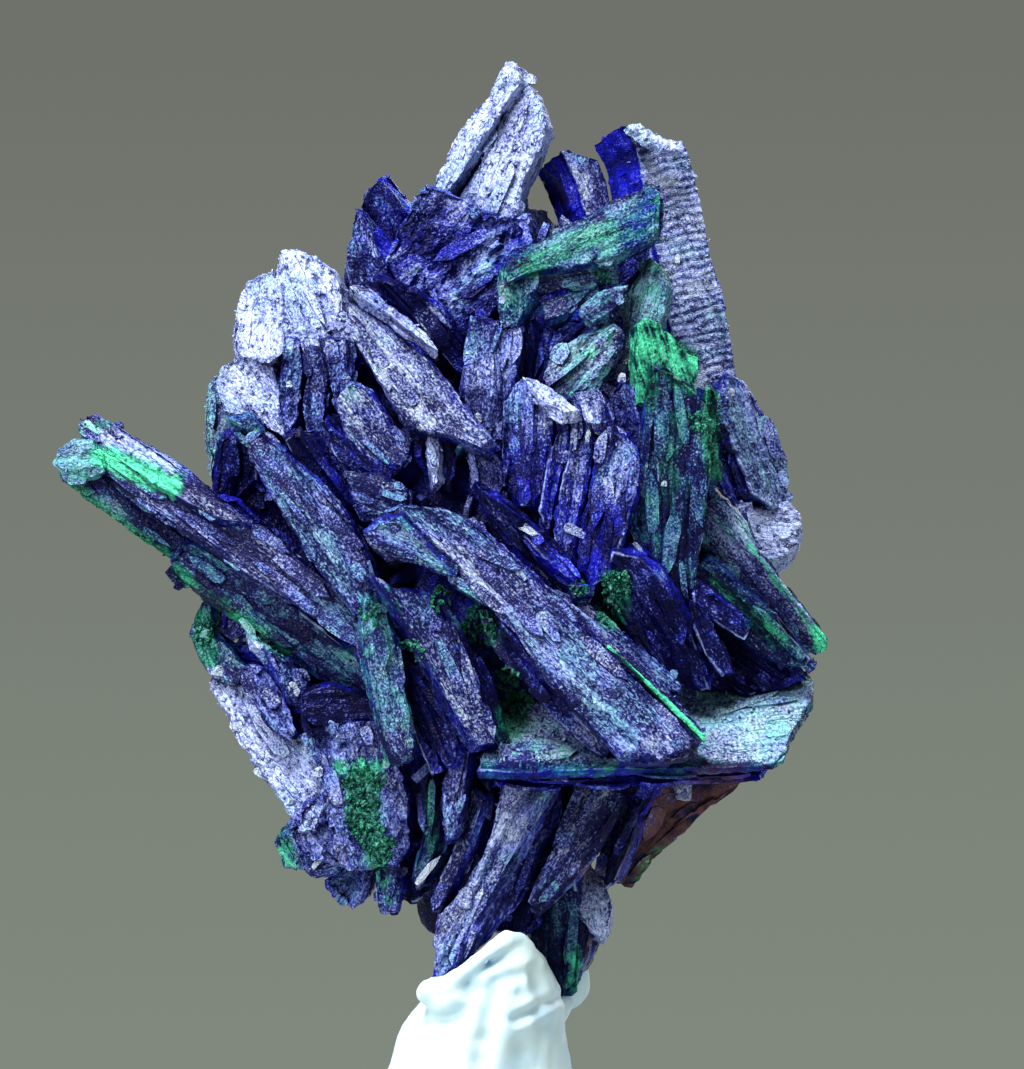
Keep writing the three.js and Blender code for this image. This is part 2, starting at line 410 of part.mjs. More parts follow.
// An outline without the points that lie almost on the line between their neighbours.
function straightened(outline) {
  const kept = [...outline];
  for (let i = kept.length - 1; i >= 0 && kept.length > 4; i -= 1) {
    const [ax, ay] = kept[(i + kept.length - 1) % kept.length];
    const [bx, by] = kept[i];
    const [cx, cy] = kept[(i + 1) % kept.length];
    const stray = Math.abs((cx - ax) * (by - ay) - (cy - ay) * (bx - ax)) / Math.hypot(cx - ax, cy - ay);
    if (stray < STRAIGHT) kept.splice(i, 1);
  }
  return kept;
}

// A plate of the tables above, lifted from the sheet onto its own turned plane.
function plate([, depth, [right, up], thick, outline], grow = 0) {
  const lifted = straightened(outline).map(([x, y]) => [x - SHEET_MIDDLE, SHEET_FOOT - y]);
  const midX = lifted.reduce((sum, p) => sum + p[0], 0) / lifted.length;
  const midZ = lifted.reduce((sum, p) => sum + p[1], 0) / lifted.length;
  const across = new THREE.Vector3(1, Math.tan(THREE.MathUtils.degToRad(right)), 0);
  const upward = new THREE.Vector3(0, Math.tan(THREE.MathUtils.degToRad(up)), 1);
  const facing = new THREE.Vector3().crossVectors(across, upward).normalize();
  const place = new THREE.Matrix4().makeBasis(across, upward, facing).setPosition(midX, depth, midZ);
  const local = lifted.map(([x, z]) => [x - midX, z - midZ]);
  return slab(local, thick, grow).applyMatrix4(place);
}

// A spear-shaped crystal from its root to its tip.
function spear(root, tip, width, thick, roll) {
  const axis = new THREE.Vector3().subVectors(tip, root);
  const length = axis.length();
  axis.normalize();
  const side = new THREE.Vector3(0, 0, 1).cross(axis);
  if (side.length() < 0.1) side.set(1, 0, 0);
  side.normalize().applyAxisAngle(axis, THREE.MathUtils.degToRad(roll));
  const facing = new THREE.Vector3().crossVectors(axis, side);
  const half = width / 2;
  const outline = [
    [0, -half * 0.7],
    [length * 0.84, -half],
    [length, -half * 0.2],
    [length * 0.74, half],
    [0, half * 0.8],
  ];
  const middle = root.clone().addScaledVector(facing, thick / 2);
  const place = new THREE.Matrix4().makeBasis(axis, side, facing).setPosition(middle);
  return slab(outline, thick).applyMatrix4(place);
}

function coreLump({ middle, half, turn }, index) {
  const ball = new THREE.IcosahedronGeometry(1, 1);
  ball.deleteAttribute("normal");
  ball.deleteAttribute("uv");
  const lump = mergeVertices(ball, 1e-4);
  const roll = dice(101 + index * 17);
  const position = lump.attributes.position;
  for (let i = 0; i < position.count; i += 1) {
    const corner = new THREE.Vector3().fromBufferAttribute(position, i);
    corner.multiplyScalar(0.84 + 0.26 * roll());
    position.setXYZ(i, ...corner);
  }
  return lump.rotateY(turn).scale(...half).translate(...middle);
}

// One bundle: three blades side by side, their tips a little apart.
function bundle(root, tip, roll) {
  const turn = roll() * 180;
  const axis = new THREE.Vector3().subVectors(tip, root).normalize();
  const side = new THREE.Vector3(0, 0, 1).cross(axis).normalize();
  side.applyAxisAngle(axis, THREE.MathUtils.degToRad(turn));
  const across = new THREE.Vector3().crossVectors(axis, side);
  return BUNDLE_LENGTHS.map((length, place) => {
    const thick = 1.1 + 0.8 * roll();
    const width = 3.2 + 2.4 * roll();
    const shift = across.clone().multiplyScalar((place - 1) * BUNDLE_SPACING);
    const start = root.clone().add(shift);
    const end = root.clone().lerp(tip, length).addScaledVector(shift, BUNDLE_FLARE);
    return spear(start, end, width, thick, turn);
  });
}

function sideBlades() {
  const roll = dice(20257);
  const made = [];
  const middle = new THREE.Vector3(...BUNDLE_MIDDLE);
  for (let i = 0; i < BUNDLES; i += 1) {
    const y = THREE.MathUtils.lerp(...BUNDLE_LEAN, (i + 0.5) / BUNDLES);
    const ring = Math.sqrt(1 - y * y);
    const angle = i * GOLDEN_ANGLE + FIRST_ANGLE;
    const way = new THREE.Vector3(ring * Math.cos(angle), y, ring * Math.sin(angle));
    const tip = way.clone().multiply(new THREE.Vector3(...BUNDLE_REACH));
    tip.multiplyScalar(0.9 + 0.2 * roll()).add(middle);
    const root = new THREE.Vector3(...BUNDLE_ROOTS.map((spread) => spread * (roll() - 0.5)));
    root.z += way.z * BUNDLE_ROOT_CLIMB;
    root.add(middle);
    made.push(...bundle(root, tip, roll));
  }
  return made;
}

function backPlates(rows) {
  const flip = new THREE.Matrix4().makeRotationX(Math.PI);
  flip.setPosition(BACK_SHIFT, 2 * BACK_AXIS.y, 2 * BACK_AXIS.z);
  const chosen = rows.filter((row) => BACK_NAMES.includes(row[0]));
  return chosen.map((row) => plate(row).applyMatrix4(flip));
}

function carriers() {
  return CARRIERS.map(([x, y, depth, width, roll]) => {
    const tip = new THREE.Vector3(x - SHEET_MIDDLE, depth, SHEET_FOOT - y);
    const root = new THREE.Vector3(tip.x * 0.3, -1, 33 + (tip.z - 33) * 0.55);
    return spear(root, tip, width, CARRIER_THICK, roll);
  });
}

function cluster() {
  const rows = [...CROWN, ...UPPER_RIGHT, ...RIGHT, ...FRONT, ...LEFT, ...MIDDLE, ...LOWER];
  const plates = [...rows.map((row) => plate(row)), ...backPlates(rows)];
  const geometries = [...plates, ...CORE.map(coreLump), ...sideBlades(), ...carriers()];
  return largestBody(wasm.Manifold.union(geometries.map(solidOf)));
}

// The putty's body is a lathe whose rings are then stretched and shifted.
function puttyBody() {
  const profile = [new THREE.Vector2(0, 0)];
  PUTTY_RINGS.forEach((ring, index) => profile.push(new THREE.Vector2(1, index)));
  profile.push(new THREE.Vector2(0, PUTTY_RINGS.length - 1));
  const lathe = new THREE.LatheGeometry(profile, PUTTY_SIDES);
  const position = lathe.attributes.position;
  for (let i = 0; i < position.count; i += 1) {
    const { z, half, middle } = PUTTY_RINGS[Math.round(position.getY(i))];
    const x = middle[0] + half[0] * position.getX(i);
    const y = middle[1] - half[1] * position.getZ(i);
    position.setXYZ(i, x, y, z);
  }
  return lathe;
}

// The rolled lip that the putty was pinched into, from its low left end over the top.
function puttyLip() {
  const route = new THREE.CatmullRomCurve3([
    new THREE.Vector3(-2.2, -8.6, 11.9),
    new THREE.Vector3(-0.8, -9.6, 12.9),
    new THREE.Vector3(0.6, -9.7, 14),
    new THREE.Vector3(1.7, -9.2, 14.7),
    new THREE.Vector3(2.6, -8.2, 14.2),
  ]);
  const round = new THREE.Shape().absarc(0, 0, LIP_RADIUS, 0, Math.PI * 2);
  return new THREE.ExtrudeGeometry(round, {
    steps: 8, extrudePath: route, curveSegments: 4, bevelEnabled: false,
  });
}

// The lump, its lip and the bead that squeezed out at its side, less the crystals pressed into it.
function putty() {
  const bead = new THREE.SphereGeometry(BEAD_RADIUS, 12, 7).translate(...BEAD_MIDDLE);
  const lump = wasm.Manifold.union([puttyBody(), puttyLip(), bead].map(solidOf));
  const rooted = LOWER.filter((row) => row[4].some(([, y]) => y > ROOTED_BELOW));
  const pocket = wasm.Manifold.union(rooted.map((row) => solidOf(plate(row, CLEARANCE))));
  return largestBody(lump.subtract(pocket));
}

function mesh(name, solid, colour, roughness) {
  const material = new THREE.MeshStandardMaterial({ color: colour, roughness, metalness: 0 });
  const made = new THREE.Mesh(geometryOf(solid), material);
  made.name = name;
  return made;
}

const specimen = new THREE.Group();
specimen.add(mesh("azurite_cluster", cluster(), 0x1c2a8c, 0.5));
specimen.add(mesh("display_putty", putty(), 0xe6f2f4, 0.45));

export default specimen;
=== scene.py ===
# An azurite crystal cluster held in a cone of white display putty.
# Everything is in metres in the frame's own axes: +Z up, the front of the cluster faces -Y.
import math
import random

import bmesh
import bpy
import numpy as np
from mathutils import Matrix, Vector, noise
from mathutils.bvhtree import BVHTree


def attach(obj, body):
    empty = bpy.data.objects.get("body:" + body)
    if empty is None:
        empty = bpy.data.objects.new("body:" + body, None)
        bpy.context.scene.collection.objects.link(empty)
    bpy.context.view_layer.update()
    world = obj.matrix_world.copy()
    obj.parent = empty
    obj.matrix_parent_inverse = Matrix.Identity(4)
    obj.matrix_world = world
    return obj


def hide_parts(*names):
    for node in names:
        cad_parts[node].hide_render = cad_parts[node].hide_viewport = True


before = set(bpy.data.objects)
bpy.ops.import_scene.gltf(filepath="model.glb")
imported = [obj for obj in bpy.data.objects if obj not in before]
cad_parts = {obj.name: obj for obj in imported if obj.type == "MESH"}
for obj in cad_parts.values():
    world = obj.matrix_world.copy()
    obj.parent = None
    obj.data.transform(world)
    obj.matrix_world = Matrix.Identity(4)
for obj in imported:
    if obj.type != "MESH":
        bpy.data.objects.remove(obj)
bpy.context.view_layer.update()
mm = 0.001
print("stage: frame loaded")

# The front elevation is drawn on a sheet, in mm from its left and top edges.
sheet = {"middle": 24, "foot": 61.45}

# How a crystal surface looks. frost, green, azure, mint and rust tint its material, and bare is how
# much less frost its walls have. The frost tint is a pale crust of tiny crystals whose whiteness is
# partly painted glints off their facets. In mm: steps of growth, ridges along the blade, grain, a
# ragged outline, pits, blocks and cross ripples. crest folds the face into two facets, taper narrows
# the back, splintered scales the splinters on it, and stretch draws out the material's pattern.
plainFinish = dict(
    frost=0.4, green=0, azure=0.5, mint=0, rust=0, bare=0.6, steps=0.1, ridges=0.05, grain=0.07,
    ragged=0.1, pits=0.05, blocks=0, ripple=0, crest=1, taper=1, splintered=1, stretch=0.8)
changes = {
    "frostedAndGlinting": dict(frost=0.76, azure=0.45, ridges=0.04, grain=0.09, ragged=0.08, pits=0.1, bare=0.1,
        splintered=0.2, crest=0.5, blocks=0.08),
    "druse": dict(frost=0.5, azure=0.8, steps=0.12, ridges=0.03, grain=0.16, ragged=0.16, pits=0.2,
        bare=0.2, splintered=0.5, blocks=0.22, crest=0.4),
    "lavender": dict(frost=0.56, azure=0.6, steps=0.24, ridges=0.09, grain=0.08, ragged=0.12, pits=0.1,
        bare=0.4),
    "dusk": dict(frost=0.42, steps=0.3, ridges=0.1, grain=0.09, ragged=0.14, pits=0.12),
    "navy": dict(frost=0.12, green=0.04, azure=0.4, steps=0.22, ridges=0.1, grain=0.04, ragged=0.08,
        pits=0.04),
    "azure": dict(frost=0.2, green=0.02, azure=0.95, steps=0.22, ridges=0.1),
    "rippled": dict(frost=0.7, azure=0.6, steps=0.06, ridges=0.03, grain=0.05, ragged=0.02, pits=0.03,
        ripple=0.012, stretch=1.9, bare=1, splintered=0, crest=0, taper=0.93),
    "ribbed": dict(frost=0.46, azure=0.7, steps=0.26, ridges=0.12, pits=0.08),
    "slate": dict(green=0.16, azure=0.35, steps=0.14, ridges=0.06, grain=0.06, ragged=0.07, pits=0.04,
        stretch=0.6),
    "silver": dict(green=0.02, azure=0.3, steps=0.12, pits=0.06, bare=0.3, splintered=0.3),
    "teal": dict(frost=0.44, green=0.38, mint=0.03, ridges=0.04),
    "paleTeal": dict(frost=0.64, green=0.42, azure=0.4, mint=0.08, steps=0.2, grain=0.1, pits=0.1,
        bare=0.2, splintered=0.3),
    "moss": dict(frost=0.28, green=0.32, azure=0.45, steps=0.18, ridges=0.09, grain=0.05, ragged=0.07,
        pits=0.03),
    "emerald": dict(frost=0.3, green=1, azure=0.1, mint=0.5, steps=0.06, ridges=0.02, grain=0.04,
        ragged=0.05, pits=0.02, splintered=0, crest=0.3),
    "earthy": dict(frost=0.2, green=0.05, azure=0.3, steps=0.16, grain=0.08, ragged=0.12, pits=0.06,
        rust=0.8),
    "mintLine": dict(frost=0.5, green=0.9, azure=0.2, mint=0.9, steps=0.05, ridges=0.04, grain=0.04,
        ragged=0.04, pits=0, bare=0, splintered=0),
    "prism": dict(frost=0.5, grain=0.05, ragged=0.03, pits=0.03, bare=1, splintered=0, crest=0,
        taper=0.9),
    "shelf": dict(frost=0.63, green=0.42, azure=0.4, steps=0.05, ridges=0.02, grain=0.06, pits=0,
        bare=0.7, splintered=0.3, crest=0),
    "striated": dict(frost=0.3, azure=0.7, steps=0.2, ridges=0.14, grain=0.05, ragged=0.08, pits=0.03,
        stretch=0.4),
    "leaf": dict(green=1, azure=0, mint=0.14),
    "white": dict(frost=1.3, azure=0),
}
finishes = {name: dict(plainFinish, **change) for name, change in changes.items()}

# Each plate: name, finish, depth of its front face's middle, degrees its face is turned to the right
# and up, thickness, and the outline of its front face on the sheet.
crownPlates = [
    ("spireLeft", "frostedAndGlinting", -1, (-22, 20), 1.7, [(25.25, 2.9), (25.85, 3.05), (26.05, 4), (24.9, 5.8),
     (22.25, 9.75), (21.2, 12.6), (19.8, 12.6), (21.4, 9.5), (22.6, 7), (23.5, 5.6), (24.3, 4.8)]),
    ("spireRight", "frostedAndGlinting", -1.2, (-8, 14), 2.3, [(26.1, 3.6), (27, 4.9), (27.45, 6.2), (27, 7.5),
     (26.1, 9.2), (26, 10.8), (25.5, 13), (23.2, 13.6), (22.5, 12), (23, 9.8), (24.3, 7.4), (25.3, 5.4)]),
    ("crownBody", "druse", -3.2, (-8, 10), 5, [(21.2, 9.1), (23.1, 9.9), (25, 10.8), (26.4, 10.6),
     (26.5, 12.3), (25.3, 13.1), (25, 15), (23.5, 16.6), (22.4, 16.4), (21.6, 15), (20, 14.2),
     (19.2, 13.1), (19.9, 11.2)]),
    ("hornFace", "navy", -1, (-20, -10), 1.6, [(18.85, 8.9), (20.25, 10.6), (20.4, 12.6), (19.6, 13.8),
     (18.1, 11.8), (17.95, 10.3), (18.3, 9.5)]),
    ("hornFlank", "dusk", -2, (-32, 5), 2, [(17.7, 10.4), (18.4, 11.4), (19.1, 12.7), (19.8, 14.8),
     (18.2, 15), (17.1, 14.4), (17.2, 12.7), (17.5, 11.1)]),
    ("crownChip", "frostedAndGlinting", 1.5, (10, 30), 1.6, [(26.4, 10.2), (27.3, 10.4), (28, 11.4), (27.9, 13.2),
     (26, 13.4)]),
]

upperRightPlates = [
    ("smallPrism", "prism", 1, (40, 31), 2.2, [(28, 7.45), (28.5, 7.35), (30, 7.85), (30.3, 8.6),
     (31, 12.4), (30, 12.6), (28.75, 9)]),
    ("stripedTower", "rippled", 0.5, (36, 14), 2.9, [(31.1, 6.2), (32, 6.05), (33.2, 6.9), (34.3, 6.95),
     (34.65, 8), (35.05, 9.75), (35.6, 12.5), (36.2, 14.5), (36.7, 17.2), (37, 19.2), (36.1, 21.5),
     (34.6, 20.5), (33.8, 17.5), (32.7, 12), (31.8, 7.5)]),
    ("towerCap", "frostedAndGlinting", -0.5, (30, 40), 0.5, [(31.5, 6.2), (32.1, 6), (33.2, 6.85), (34.1, 6.95),
     (34.25, 7.5), (33.1, 7.45), (32, 6.75)]),
    ("towerGap", "navy", -3, (0, 0), 1.6, [(29.4, 12.6), (32.6, 12.3), (32.5, 15.6), (29.6, 15.8)]),
    ("towerFoot", "lavender", -0.5, (34, 10), 2.8, [(36.5, 18.7), (37.5, 19.2), (38.6, 20.9), (39.1, 22),
     (39.6, 23.1), (39.75, 24.2), (39.4, 25.2), (38.7, 25.4), (37.6, 24.7), (36.7, 22.4), (36, 20.2)]),
    ("druseKnob", "frostedAndGlinting", -0.8, (8, 15), 4.2, [(36.7, 25.2), (38.2, 25.2), (39.5, 25), (40, 25.7),
     (40.3, 26.4), (40.1, 27.3), (39.5, 27.8), (38.1, 28.2), (37.2, 27.6), (36.6, 26.4)]),
    ("greenBar", "teal", -7, (0, 12), 1.2, [(25.4, 12.7), (27, 12), (30, 10.35), (32, 9.4), (32.8, 9.3),
     (33.05, 9.6), (33.05, 11.9), (30.9, 13), (28.7, 13.4), (26.6, 13.6), (25.3, 14.2)]),
    ("greenBarUnder", "teal", -6.3, (5, -5), 1.4, [(26.6, 13.1), (28.7, 13), (30.6, 12.8), (31, 14.3),
     (29.8, 14.3), (28, 14.6), (27, 15), (26.6, 14.5)]),
    ("tealFoot", "teal", -6.8, (-15, 5), 1.5, [(25, 13.4), (25.7, 12.8), (26.6, 13.2), (26.6, 15),
     (26, 16), (25.8, 16.6), (24.9, 16.1), (24.8, 14.5)]),
    ("greenChip", "teal", -6.6, (0, 18), 1, [(27, 15.1), (27.8, 14.7), (30, 14.3), (29, 15.1),
     (28.2, 15.8), (27.2, 16.1)]),
    ("tealChip", "teal", -6.8, (0, 10), 1, [(29, 15.3), (29.9, 14.6), (31.4, 14.3), (31, 15.2),
     (30.5, 15.9), (29.6, 16.3), (29.1, 15.9)]),
    ("tealSpear", "paleTeal", -5.6, (-10, 10), 1.5, [(32.4, 12.7), (33, 13.3), (33.4, 14.2), (33.3, 15.4),
     (32.6, 17.6), (31, 17.6), (31.1, 15.5), (31.2, 14.6), (31.9, 13.5)]),
    ("palePlate", "paleTeal", -7, (-10, 15), 1.2, [(28, 17.2), (29.5, 16.6), (30.6, 16.2), (31, 16.6),
     (30.9, 17.5), (30.2, 18.5), (29.5, 19.8), (28.7, 20.4), (27.6, 19.9), (27.1, 18.9), (27.4, 18)]),
    ("slatLeft", "navy", -6.2, (-20, 0), 1, [(25.9, 16.2), (26.6, 16.1), (26.8, 17.3), (26.5, 19.3),
     (25.9, 20.2), (25.5, 19)]),
    ("slatRight", "navy", -6.2, (10, 10), 1, [(28.2, 16.1), (29.6, 16), (29.2, 16.8), (28, 17.5),
     (27.4, 18), (27.6, 16.9)]),
    ("slatMiddle", "navy", -6, (-25, 0), 0.9, [(27, 16.2), (27.7, 16.4), (27.5, 18.8), (26.8, 19.2),
     (26.7, 17.6)]),
]

rightPlates = [
    ("emeraldCap", "emerald", -7.4, (15, 10), 1.4, [(31.9, 16.3), (32.3, 15.9), (33, 16.1), (33.8, 16.9),
     (34.5, 17.6), (35, 17.8), (35.05, 18.6), (34.8, 19.4), (33, 20.4), (31.9, 20.2), (31.8, 18)]),
    ("tallGreen", "moss", -9.2, (12, -8), 1.6, [(32.6, 18.3), (33.2, 18.5), (34.1, 19.1), (35, 19.9),
     (35.4, 20.5), (35.6, 22), (35.5, 23.7), (35.2, 26.5), (34.8, 29), (34.5, 32), (33.8, 30.5),
     (32.4, 27.8), (31.4, 26.4), (31.6, 24.9), (32.1, 23.2), (32.4, 21)]),
    ("navyWedge", "navy", -9.2, (-5, -20), 1.8, [(30.6, 27.6), (32, 27.9), (33.2, 29), (34.4, 31.1),
     (35, 33), (35.45, 34.5), (34.5, 34.5), (32.7, 33.1), (31.1, 31.4), (30, 30)]),
    ("navyFin", "navy", -8.3, (20, -5), 1.1, [(34.5, 30), (35.1, 30.4), (36, 31.9), (36.85, 33.75),
     (36.1, 33.8), (35.2, 32.7), (34.7, 31.4)]),
    ("rightBladeUpper", "teal", -6, (10, -12), 1.6, [(35, 25.2), (35.75, 24.4), (37.4, 26.1),
     (38.1, 27.8), (39.4, 29.5), (40.5, 30.9), (41.35, 32), (41.3, 32.5), (40.8, 32.8), (40, 32.5),
     (38.7, 31.2), (37.5, 29.7), (36.4, 28.5), (35, 27.4)]),
    ("rightBladeLower", "moss", -7.4, (0, -15), 1.3, [(34.6, 28.1), (35.6, 28), (36.9, 29.2),
     (38.5, 30.7), (40, 32.4), (40.5, 33), (40.3, 33.4), (39.2, 33.4), (37.9, 33), (36.7, 31.8),
     (35.6, 30.5), (34.6, 29.5)]),
    ("platform", "shelf", -7.4, (0, 60), 0.5, [(23.9, 38.5), (25, 35), (28, 33), (32, 32.5), (36.8, 33.4),
     (40.1, 33.3), (40.7, 34), (40.6, 35), (40.1, 35.8), (39.5, 36.8), (39.3, 37.5), (38.7, 38.1),
     (37, 38.3), (32, 38.35), (26, 38.6)]),
    ("platformUnder", "azure", -7, (0, 60), 0.6, [(24.6, 38.9), (27, 35), (32, 33.5), (38, 34),
     (38.8, 36.8), (38, 38.6), (32, 38.9)]),
    # a navy plate put behind a gap, where the front shows only dark shade
    ("platformShade", "navy", -5.8, (0, 0), 2.4, [(34.6, 29.6), (36.4, 30.6), (39.9, 33.2), (40.1, 34),
     (37.5, 34.8), (34.6, 34.4)]),
    # a navy plate put behind a crack, where the front shows only dark shade
    ("rimShade", "navy", -3.5, (0, 0), 1.6, [(34.3, 22.6), (35.9, 23), (37, 25.4), (37.8, 27.6),
     (36.6, 29), (34.3, 28.8)]),
    ("greenRim", "moss", -8.4, (30, 0), 1.2, [(35.3, 19.4), (35.85, 19.5), (36.05, 20.2), (36, 22),
     (35.6, 24), (35.4, 26), (34.9, 26), (35, 23)]),
    ("rightSliver", "navy", -8.1, (0, -10), 0.8, [(34.6, 28.8), (36, 30), (37.7, 31.3), (37.2, 32),
     (35.9, 31.2), (34.7, 30.4)]),
]

frontPlates = [
    ("mainBlade", "slate", -12.6, (-6, 13), 2.2, [(19.25, 25.55), (20.1, 25.25), (22, 25.45),
     (23.4, 25.8), (24.3, 26.5), (27.5, 29.5), (31.5, 33.75), (34.6, 36.9), (34.55, 37.5), (33, 37.85),
     (30.9, 37.85), (30.3, 37.2), (27.8, 34.4), (25.6, 31.4), (24.7, 30.3), (22, 28.7), (19.6, 26.7)]),
    ("mainBladeStrip", "slate", -12, (18, 20), 1.8, [(27.2, 29.2), (28.7, 30.3), (30.5, 31.6),
     (34.2, 35.2), (35.2, 36.7), (35, 37.1), (34.3, 36.9), (30.4, 33.3), (27.6, 31)]),
    ("mainBladeShoulder", "slate", -11.8, (-10, -12), 2, [(18.1, 26.75), (18.9, 26.1), (20, 26), (22, 28),
     (22.9, 29), (20.8, 28.3), (19.3, 28), (18.4, 27.4)]),
    ("mainBladeUnder", "navy", -11.6, (-18, -25), 1.8, [(25, 31.2), (27.6, 34.1), (30.6, 37.4),
     (30.3, 37.9), (29.5, 37.5), (26.7, 35), (25.6, 33.4), (24.9, 32)]),
    ("mintEdge", "mintLine", -12.7, (14, 18), 0.4, [(30.3, 32.2), (31.4, 33.05), (33.4, 35.05),
     (35.35, 36.95), (35.25, 37.05), (33.3, 35.15), (31.3, 33.15)]),
    ("sideBlade", "slate", -10.8, (5, 12), 1.2, [(27.7, 29.5), (29.5, 30.2), (31.2, 31.6), (33.1, 33.2),
     (34.15, 34.2), (34, 34.7), (33.1, 34.6), (30, 32.2), (28.2, 30.7)]),
    ("mossBlade", "teal", -11, (-12, 8), 1.6, [(23.9, 30.5), (25, 30.1), (26.2, 31.1), (27.2, 32.5),
     (27.6, 34.5), (26.7, 34.3), (25.4, 33.4), (24.4, 32.2)]),
    ("frontFang", "slate", -11.4, (14, 8), 2, [(18.55, 28.65), (19.9, 29.4), (21.8, 29.7), (22.6, 31.1),
     (23.5, 33.2), (24.3, 35), (25.1, 37.1), (23.9, 37.35), (22.7, 35.7), (21.6, 33.5), (20.4, 31.4),
     (19.4, 29.9)]),
    ("frontFangBack", "navy", -10.4, (25, 0), 1.7, [(21.8, 29.5), (23.1, 31.2), (24.2, 33.5),
     (25.2, 35.7), (25.7, 37.4), (24.6, 37.1), (23.2, 33.2)]),
    ("frontTooth", "teal", -10.8, (8, 4), 1.8, [(18.3, 29.7), (18.8, 29.5), (19.4, 30.6), (19.9, 32),
     (20.5, 35.2), (20.8, 37.1), (20.7, 37.9), (20.2, 38.15), (19.6, 38), (19.2, 36.9), (18.7, 35),
     (18.3, 33), (18.05, 31.2)]),
    ("innerSlat", "navy", -9.6, (-20, 0), 1.1, [(20.2, 32.7), (21, 33.6), (22, 35.2), (22.9, 36.9),
     (22.7, 38.2), (22.3, 38.4), (21.5, 37.2), (20.5, 35.2)]),
    ("leftLance", "slate", -8.8, (-12, 6), 1.9, [(12.3, 22), (13.1, 21.55), (14.25, 22.5), (15.9, 24.1),
     (17.3, 25.7), (18.4, 28), (18.8, 30), (18, 31.1), (15.7, 28.3), (14.8, 26.7), (13.6, 25),
     (12.7, 23.4)]),
    ("darkLance", "navy", -7.6, (0, -15), 1.3, [(14.2, 22), (15, 21.6), (16, 22.7), (17.3, 24.5),
     (18.2, 25.8), (17.5, 26.4), (15.6, 24.6)]),
    ("innerSlatBack", "navy", -9, (-30, 0), 1, [(20.3, 34), (21.2, 35), (21.8, 37), (22, 38.5),
     (21.6, 38.7), (21, 37.2), (20.4, 35.5)]),
    ("lanceKeel", "navy", -8.4, (-20, 0), 1, [(15.4, 28), (17, 30), (18.1, 32), (18.6, 33.4),
     (17.6, 32.6), (16.5, 30.8)]),
]

